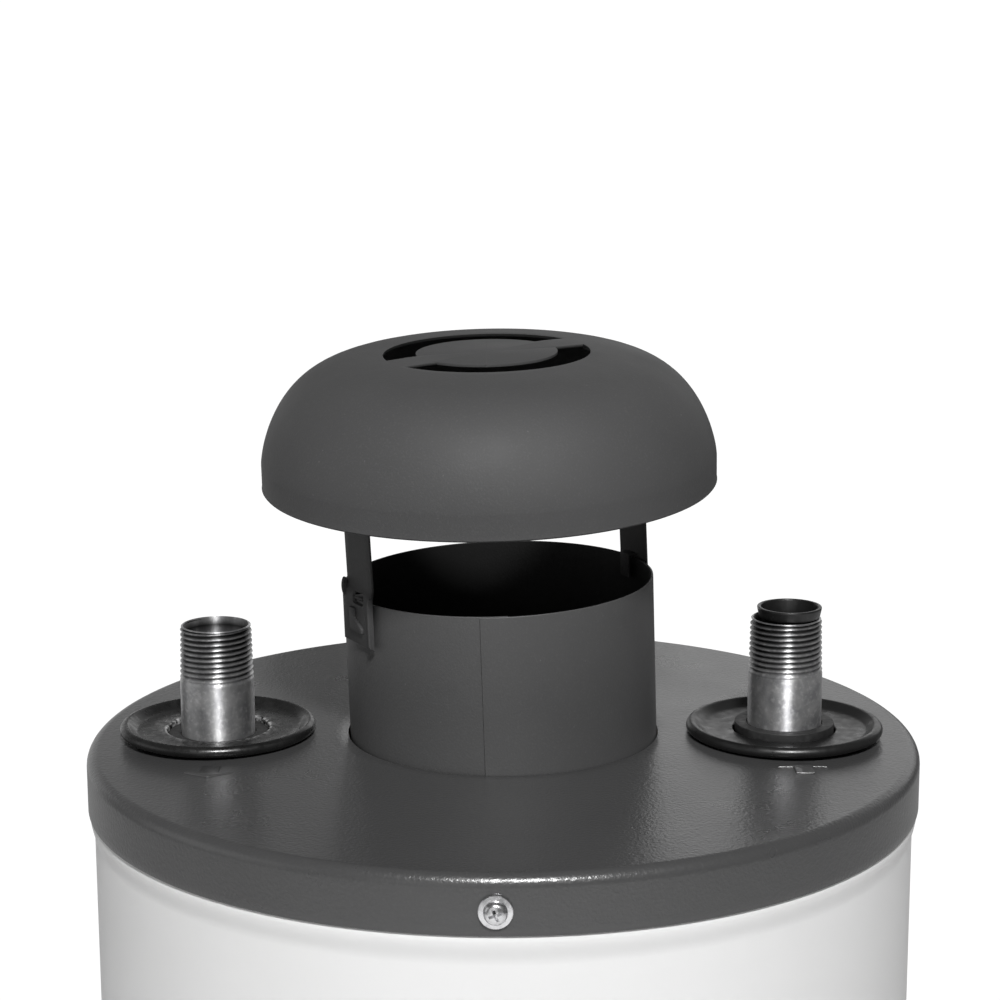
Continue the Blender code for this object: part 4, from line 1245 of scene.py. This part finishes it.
def gas_valve():
    low = Vector(mm3(-37, -218, 240))
    high = Vector(mm3(37, -163, 330))
    body = block("body", low, high, ALUMINIUM)
    rounded_edges(body, 4, 5)
    baked(body)
    shank = drill(9.9, 122, 168, outward(0, 285 * mm), 64)
    inlet = at(0, CONTROL_Y, 262 * mm) @ spun("Y", 90)
    hub = drill(15, 30, 52, inlet, 64, 1.2)
    flange = drill(27, 216, 219, outward(0, middle("temperature_dial").z), 96, 0.8)
    joined(body, shank, hub, flange)
    cutters = [
        drill(10.5, 38, 60, inlet), drill(4.2, -10, 6, DIAL_PLACE, 32), drill(4.2, -10, 5, KNOB_PLACE, 32),
        drill(4.6, -14, 5, BUTTON_PLACE, 32),
        block("split", mm3(-50, -204.4, 230), mm3(-36.4, -204, 350), None),
        block("split", mm3(36.4, -204.4, 230), mm3(50, -204, 350), None),
        block("split", mm3(-50, -204.4, 329.4), mm3(50, -204, 340), None),
    ]
    cut(body, *cutters)
    rounded_edges(body, 0.3, 2)
    fit(body, "heater", "aluminium", "gas_valve_body")


def valve_fasteners():
    """Screws at the corners of the control's front, and the plug of a pressure tap."""
    for i, (x, z) in enumerate(((-31, 246), (31, 246), (-31, 324), (31, 324))):
        profile = mms((0, 219.6), (2.2, 219.4), (3.1, 218.6), (3.2, 217.6), (0, 217.6))
        place = at(x * mm, 0) @ outward(0, z * mm)
        screw = turned(f"valve_screw_{i + 1}", profile, ZINC, place, steps=48)
        turn = place @ spun("Z", 25 + 50 * i)
        low = mm3(-2.6, -0.35, 218.9)
        cut(screw, block("slot", low, mm3(2.6, 0.35, 221), None, turn))
        fit(screw, "heater", "zinc_plate")
    place = at(24 * mm, 0) @ outward(0, 305 * mm)
    profile = dense(rod_mm(4.5, 217.6, 220, 0.4), 0.5)
    plug = turned("pressure_plug", profile, BRASS, place, steps=48)
    hole = drill(1.8, 218.6, 222, place, 6)
    cut(plug, hole)
    fit(plug, "heater", "brass")


def probe():
    section = rod_mm(5, 60, 121.6, 2)
    rod = turned("probe", section, COPPER, outward(0, 285 * mm), steps=48)
    fit(rod, "heater", "copper", "thermostat_probe")


def temperature_dial():
    profile = mms((0, 18), (17, 18), (22, 15.5), (24, 1), (3.7, 1), (3.7, -8), (0, -8))
    grips = flutes(40, 0.9 * mm, 2 * mm, 14.5 * mm, 21.5 * mm)
    shape = dense(softened(profile, 0.8, closed=False), 1.5)
    dial = turned("dial", shape, BLACK, DIAL_PLACE, steps=240, relief=grips, sharp=50)
    pointer = block("pointer", mm3(-1.5, 6, 16), mm3(1.5, 20, 19.5), BLACK, DIAL_PLACE, edge=0.6)
    fit(merged("dial_cap", dial, pointer), "dial", "black_plastic", "temperature_dial")


def printed(text, size, place):
    line = bpy.data.curves.new("print", "FONT")
    line.body = text
    line.size = size
    line.extrude = 0.06 * mm
    line.align_x = "CENTER"
    line.align_y = "CENTER"
    line.materials.append(PRINT)
    obj = bpy.data.objects.new("print", line)
    scene.collection.objects.link(obj)
    obj.matrix_world = place
    bpy.context.view_layer.update()
    return obj


def dial_marks():
    """Numbers round the dial's face, and the line on its pointer."""
    marks = []
    for i in range(7):
        turn = spun("Z", -45 * (i + 1))
        place = DIAL_PLACE @ turn @ at(0, 13.2 * mm, 18.05 * mm)
        marks.append(printed(str(i + 1), 5 * mm, place))
    low = mm3(-0.5, 9, 19.4)
    marks.append(block("line", low, mm3(0.5, 19, 19.6), PRINT, DIAL_PLACE))
    fit(merged("dial_print", *marks), "dial", "black_plastic")
    index = block("valve_index", mm3(-0.7, 25, 0), mm3(0.7, 29.5, 0.25), PRINT, DIAL_PLACE)
    fit(index, "heater", "aluminium")


def gas_cock_knob():
    profile = mms((0, 9), (15, 9), (17, 7), (17, 1), (3.7, 1), (3.7, -8), (0, -8))
    grips = flutes(36, 0.6 * mm, 1.5 * mm, 7 * mm, 15.5 * mm)
    shape = dense(softened(profile, 0.6, closed=False), 1.2)
    knob = turned("knob", shape, BLACK, KNOB_PLACE, steps=216, relief=grips, sharp=50)
    grip = block("grip", mm3(-3.5, -15.5, 8), mm3(3.5, 15.5, 17), BLACK, KNOB_PLACE, edge=1.4)
    fit(merged("cock_knob", knob, grip), "gas_cock", "black_plastic", "gas_cock_knob")
    line = block("cock_line", mm3(-0.5, -14, 16.95), mm3(0.5, -5, 17.1), PRINT, KNOB_PLACE)
    fit(line, "gas_cock", "black_plastic")


def push_button(name, body, node, cap_r, stem_r, stem_low, place):
    profile = [
        (0, 10.5 * mm), (cap_r - 1 * mm, 10.4 * mm), (cap_r, 9.5 * mm), (cap_r, 6.5 * mm),
        (stem_r, 6.5 * mm), (stem_r, stem_low), (0, stem_low),
    ]
    button = turned(name, softened(profile, 0.7, closed=False), RED, place, steps=64)
    fit(button, body, "red_plastic", node)


def pilot_button():
    push_button("pilot_cap", "pilot_push", "pilot_button", 6 * mm, 4.1 * mm, -6 * mm, BUTTON_PLACE)


def igniter():
    place = at(-49 * mm, CONTROL_Y, 300 * mm)
    profile = mms(
        (0, -16), (5.2, -16), (5.2, 0), (9, 0), (9, -6), (8.2, -7), (8.2, -37), (7.2, -38), (0, -38)
    )
    case = turned("case", softened(profile, 0.4, closed=False), BLACK, place, steps=64)
    low = (-42 * mm, CONTROL_Y - 9 * mm, 268 * mm)
    clip = block("clip", low, (-37.4 * mm, CONTROL_Y + 9 * mm, 294 * mm), BLACK, edge=0.8)
    fit(merged("igniter_case", case, clip), "heater", "black_plastic", "igniter_body")
    push_button("igniter_cap", "igniter_push", "igniter_button", 7 * mm, 4.7 * mm, -7 * mm, place)


# Drain and relief valves

DRAIN_AXIS = at(middle("drain_washer").x, 0)
RELIEF_AXIS = outward(90, 600 * mm)
PIVOT = at(212 * mm, 0, 613 * mm) @ spun("Z", 90)
PIN_PLACE = PIVOT @ spun("Y", 90)


def drain_valve():
    chamber = mms(
        (0, 286), (11.5, 286), (13, 284.5), (13, 277), (12.2, 276), (12.2, 252), (10.5, 248), (0, 248)
    )
    flats = hexagon(277.5 * mm, 290 * mm, 12.6 * mm)
    shape = dense(softened(chamber, 0.5, closed=False), 1.5)
    body = turned("drain", shape, BRASS, DRAIN_AXIS, steps=96, relief=flats)
    shank_place = outward(-90, 258 * mm)
    shank = drill(8.9, 122, 172, shank_place, 64)
    spout_place = outward(-90, 273 * mm)
    spout_shape = dense(rod_mm(11.5, 174, 202, 0.6), 0.35)
    threads = thread(186 * mm, 203 * mm, 2.2 * mm, 0.8 * mm, 10.4 * mm)
    spout = turned("spout", spout_shape, None, spout_place, steps=96, relief=threads, sharp=60)
    joined(body, shank, spout)
    bore = mms((0, 290), (4.3, 290), (4.3, 281), (9.8, 281), (9.8, 265), (6, 265), (6, 252), (0, 252))
    inside = turned("inside", bore, None, DRAIN_AXIS, steps=48)
    cut(body, inside, drill(5, 115, 172, shank_place), drill(7, 172, 210, spout_place))
    fit(body, "heater", "brass", "drain_valve_body")


def drain_insides():
    washer = turned("drain_seal", rod_mm(8.8, 265.3, 268.3, 0.5), RUBBER, DRAIN_AXIS)
    fit(washer, "drain_plug", "rubber", "drain_washer")
    stem = turned("drain_rod", rod_mm(3.8, 268.6, 302), BRASS, DRAIN_AXIS, steps=48)
    fit(stem, "drain_spindle", "brass", "drain_stem")


def drain_handle():
    """A small wheel with four scallops and ribs round its edge."""
    wheel = mms(
        (0, 306), (5, 306), (7, 304.6), (16, 304.6), (19, 306), (22, 303), (22, 298), (19, 296), (8, 296),
        (8, 290), (4.2, 290), (4.2, 302.4), (0, 302.4)
    )

    def scallops(bearing, radius, height):
        if radius < 15 * mm:
            return radius
        nearest = (bearing - math.radians(45) + TURN / 8) % (TURN / 4) - TURN / 8
        across = 24 * mm * abs(math.sin(nearest))
        if across >= 6 * mm:
            return radius - 0.35 * mm * (0.5 - 0.5 * math.cos(72 * bearing))
        limit = 24 * mm * math.cos(nearest) - math.sqrt((6 * mm) ** 2 - across**2)
        return min(radius, limit)

    shape = dense(softened(wheel, 0.9, closed=False), 1.5)
    handle = turned("drain_wheel", shape, RED, DRAIN_AXIS, steps=432, relief=scallops, sharp=50)
    fit(handle, "drain_spindle", "red_plastic", "drain_handle")


def relief_valve():
    barrel = mms((0, 205), (12, 205), (13, 203.8), (13, 176), (14, 175), (14, 161), (13, 160), (0, 160))
    shape = dense(softened(barrel, 0.5, closed=False), 1.5)
    flats = hexagon(161 * mm, 174.5 * mm, 13.5 * mm)
    body = turned("relief", shape, BRASS, RELIEF_AXIS, steps=96, relief=flats)
    shank = drill(9.9, 122, 162, RELIEF_AXIS, 64)
    drop = at(184 * mm, 0)
    outlet = drill(11.5, 570, 600, drop, 64, 0.8)
    turn = spun("Z", 90)
    ears = []
    for x in (-8.5 * mm, 5.5 * mm):
        low = (x, -218 * mm, 606 * mm)
        ears.append(block("ear", low, (x + 3 * mm, -200 * mm, 619 * mm), None, turn, edge=0.8))
    joined(body, shank, outlet, *ears)
    bore = mms((0, 210), (3.7, 210), (3.7, 200), (9.8, 200), (9.8, 172), (6, 172), (6, 115), (0, 115))
    inside = turned("inside", bore, None, RELIEF_AXIS, steps=48)
    way_out = drill(8, 560, 598, drop)
    pin_hole = drill(2.4, -12, 12, PIN_PLACE, 32)
    cut(body, inside, way_out, pin_hole)
    fit(body, "heater", "brass", "relief_valve_body")


def relief_insides():
    pin = turned("hinge_pin", rod_mm(2, -10, 10), STEEL, PIN_PLACE, steps=32)
    fit(pin, "heater", "bare_steel", "relief_lever_pin")
    stem = mms(
        (0, 214.5), (4.5, 214.5), (4.5, 211), (3.2, 211), (3.2, 175.5), (8.8, 175.5), (8.8, 172.3),
        (0, 172.3)
    )
    disc = turned("relief_disc_stem", softened(stem, 0.4, closed=False), BRASS, RELIEF_AXIS, steps=48)
    fit(disc, "relief_disc", "brass", "relief_stem")


def relief_lever():
    outline = mms(
        (-4.6, -3.5), (4.6, -3.5), (4.6, 30), (4.6, 38), (2.6, 42), (-2.6, 42), (-4.6, 38), (-4.6, 30)
    )
    blade = extruded("blade", softened(outline, 1.5), -2 * mm, 2 * mm, ZINC, PIVOT @ FACING_FRONT)
    joined(blade, drill(4.4, -4.6, 4.6, PIN_PLACE))
    bore = drill(2.4, -12, 12, PIN_PLACE, 32)
    hole = drill(1.8, -9, 9, PIVOT @ at(0, 0, 36 * mm) @ FACING_FRONT, 32)
    cut(blade, bore, hole)
    rounded_edges(blade, 0.4, 2)
    fit(blade, "relief_arm", "zinc_plate", "relief_lever")


# Tank and what is in it


def head_section(eye_z, flange_z):
    eye = 45.4 * mm
    rise = eye_z - flange_z
    flange_r = 122.5 * mm
    wall = 2 * mm
    outer = [
        (eye, eye_z), (92 * mm, eye_z - 0.11 * rise), (115 * mm, eye_z - 0.38 * rise),
        (flange_r, eye_z - 0.78 * rise), (flange_r, flange_z),
    ]
    inner = [
        (flange_r - wall, flange_z), (flange_r - wall, eye_z - 0.8 * rise),
        (113.6 * mm, eye_z - 0.43 * rise), (91.4 * mm, eye_z - 0.11 * rise - wall), (eye, eye_z - wall),
    ]
    return softened(outer + inner, 6, steps=5)


def tank():
    section = ring_section(123 * mm, 125 * mm, low_z("tank_shell"), high_z("tank_shell"))
    shell = turned("shell", section, STEEL, steps=128)
    cut(shell, *port_cutters(16.1))
    fit(shell, "heater", "bare_steel", "tank_shell")
    section = ring_section(42.5 * mm, 44.5 * mm, low_z("flue_tube"), high_z("flue_tube"), 0.5)
    fit(turned("flue", section, STEEL, steps=96), "heater", "bare_steel", "flue_tube")
    for side, (bearing, height, more) in SIDE_PORTS.items():
        section = ring_mm(10.9 + more, 14.9 + more, 119.5, 145.5, 0.6)
        spud = turned(f"boss_{side}", section, STEEL, outward(bearing, height * mm), steps=64)
        fit(spud, "heater", "bare_steel", f"spud_{side}")


def tank_heads():
    top = turned("head_top", head_section(738 * mm, 700 * mm), STEEL, steps=128)
    cutters = []
    for side, place in PIPES.items():
        cutters.append(drill(16.1, 690, 760, place))
        section = ring_section(PIPE_R + 0.4 * mm, 15.5 * mm, 716 * mm, 742 * mm, 0.4)
        spud = turned(f"boss_{side}", section, STEEL, place, steps=64)
        fit(spud, "heater", "bare_steel", f"spud_{side}")
    cutters.append(drill(15.2, 690, 760, at(0, 95 * mm)))
    cut(top, *cutters)
    fit(top, "heater", "bare_steel", "tank_top_head")
    bottom = turned("head_bottom", head_section(264 * mm, 227 * mm), STEEL, steps=128)
    fit(bottom, "heater", "bare_steel", "tank_bottom_head")
    anode = mms((0, 741), (14, 741), (14, 722), (9.5, 718), (9.5, 330), (0, 330))
    shape = dense(softened(anode, 1, closed=False), 6)
    rod = turned("anode", shape, MAGNESIUM, at(0, 95 * mm), steps=48)
    fit(rod, "heater", "magnesium", "anode_rod")


def flue_baffle():
    """A strip folded to and fro, which slows the flue gas."""
    low = 262 * mm
    high = 742 * mm
    folds = 12
    route = []
    for i in range(folds + 1):
        y = 0 if i in (0, folds) else 13 * mm * (-1) ** i
        route.append((0, y, low + (high - low) * i / folds))
    route = bent(route, 2 * mm, 5)
    rows = [[(x, p.y, p.z) for x in (-33 * mm, -11 * mm, 11 * mm, 33 * mm)] for p in route]
    fit(sheet("baffle", rows, 1.2 * mm, STEEL, 0.2), "heater", "bare_steel", "flue_baffle")


def insulation():
    inner = 125.6 * mm
    outer = 146.5 * mm
    section = ring_section(inner, outer, low_z("insulation_side"), high_z("insulation_side"), 2)
    side = turned("foam_side", dense(section + section[:1], 12)[:-1], FOAM, steps=128)
    cut(side, *port_cutters(16.9))
    fit(side, "heater", "foam", "insulation_side")
    low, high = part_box("insulation_top")
    section = ring_section(61 * mm, 143.5 * mm, low.z, high.z, 2)
    top = turned("foam_top", section, FOAM, steps=128)
    cut(top, *[drill(17, 730, 770, place, 64) for place in PIPES.values()])
    fit(top, "heater", "foam", "insulation_top")


# Studio


def seen_white(tree, shader, mask=None):
    """Makes a backdrop white to the camera, and leaves the light that it sends to the heater alone."""
    path = tree.nodes.new("ShaderNodeLightPath")
    mix = tree.nodes.new("ShaderNodeMixShader")
    white = tree.nodes.new("ShaderNodeEmission")
    white.inputs["Strength"].default_value = 1.05
    output = next(node for node in tree.nodes if node.type.startswith("OUTPUT"))
    share = path.outputs["Is Camera Ray"]
    if mask:
        scale = tree.nodes.new("ShaderNodeMath")
        scale.operation = "MULTIPLY"
        tree.links.new(share, scale.inputs[0])
        tree.links.new(mask, scale.inputs[1])
        share = scale.outputs[0]
    tree.links.new(share, mix.inputs[0])
    tree.links.new(shader.outputs[0], mix.inputs[1])
    tree.links.new(white.outputs[0], mix.inputs[2])
    tree.links.new(mix.outputs[0], output.inputs["Surface"])


def away_from_heater(look):
    """A mask that rises from the heater's foot outwards, so that its own shade shows on the floor."""
    distance = look.add("VectorMath")
    distance.operation = "LENGTH"
    look.link(look.coords, distance.inputs[0])
    return look.ranged(distance.outputs["Value"], 0.3, 1.3, 0.5, 1)


def studio():
    half = 12
    corners = [(-half, -half, 0), (half, -half, 0), (half, half, 0), (-half, half, 0)]
    look = Look("pale_floor", (0.8, 0.8, 0.8), 0.9)
    look.patches(400, 3, 0.3, 0.7, 1, (0.77, 0.77, 0.77))
    seen_white(look.tree, look.shader, away_from_heater(look))
    floor = surface("floor", corners, [[0, 1, 2, 3]], look.material)
    world = bpy.data.worlds.new("studio")
    world.use_nodes = True
    background = world.node_tree.nodes["Background"]
    background.inputs["Color"].default_value = (1, 1, 1, 1)
    background.inputs["Strength"].default_value = 0.12
    seen_white(world.node_tree, background)
    scene.world = world
    soft_light("key", (0.25, -2.6, 3.4), 170, (0.45, 0.45))
    soft_light("back_wall", (1.03, 2.82, 1.65), 8.5, (2.55, 1.3))
    soft_light("back_fill", (-1.6, 3.0, 0.9), 8, (2.6, 1.8))
    soft_light("left_wall", (-2.6, -0.4, 1.4), 6, (2.4, 1.6))
    soft_light("front_wall", (-0.8, -3.0, 1.2), 6.5, (2.4, 1.6))


def soft_light(name, place, power, size):
    """A rectangular light that faces the top of the heater."""
    lamp = bpy.data.lights.new(name, "AREA")
    lamp.shape = "RECTANGLE"
    lamp.size = size[0]
    lamp.size_y = size[1]
    lamp.energy = power
    obj = bpy.data.objects.new(name, lamp)
    obj.location = place
    aim = Vector((0, 0, 0.78)) - Vector(place)
    obj.rotation_euler = aim.to_track_quat("-Z", "Y").to_euler()
    obj.visible_camera = False
    scene.collection.objects.link(obj)


def camera():
    """Level with the top of the heater and looking down at it a little, a hair off plumb."""
    lens = bpy.data.cameras.new("camera")
    lens.lens = 86.58
    lens.sensor_width = 36
    obj = bpy.data.objects.new("camera", lens)
    tilt = Matrix.Rotation(math.pi / 2 - 0.19592, 4, "X")
    obj.matrix_world = at(-0.000864, -0.84415, 1.01408) @ tilt @ Matrix.Rotation(-0.0032, 4, "Z")
    scene.collection.objects.link(obj)
    scene.camera = obj


PARTS = (
    hood_dome, hood_legs, flue_collar, collar_base_ring, top_cover, cover_screws, nipples, hot_grommet,
    cold_grommet, seal_rings, dip_tube, jacket, outer_door, inner_door, combustion_skirt, base_pan, feet,
    burner, burner_bracket, pilot, gas_lines, gas_valve, valve_fasteners, probe, temperature_dial,
    dial_marks, gas_cock_knob, pilot_button, igniter, drain_valve, drain_insides, drain_handle,
    relief_valve, relief_insides, relief_lever, tank, tank_heads, flue_baffle, insulation, studio, camera,
)
for build in PARTS:
    build()
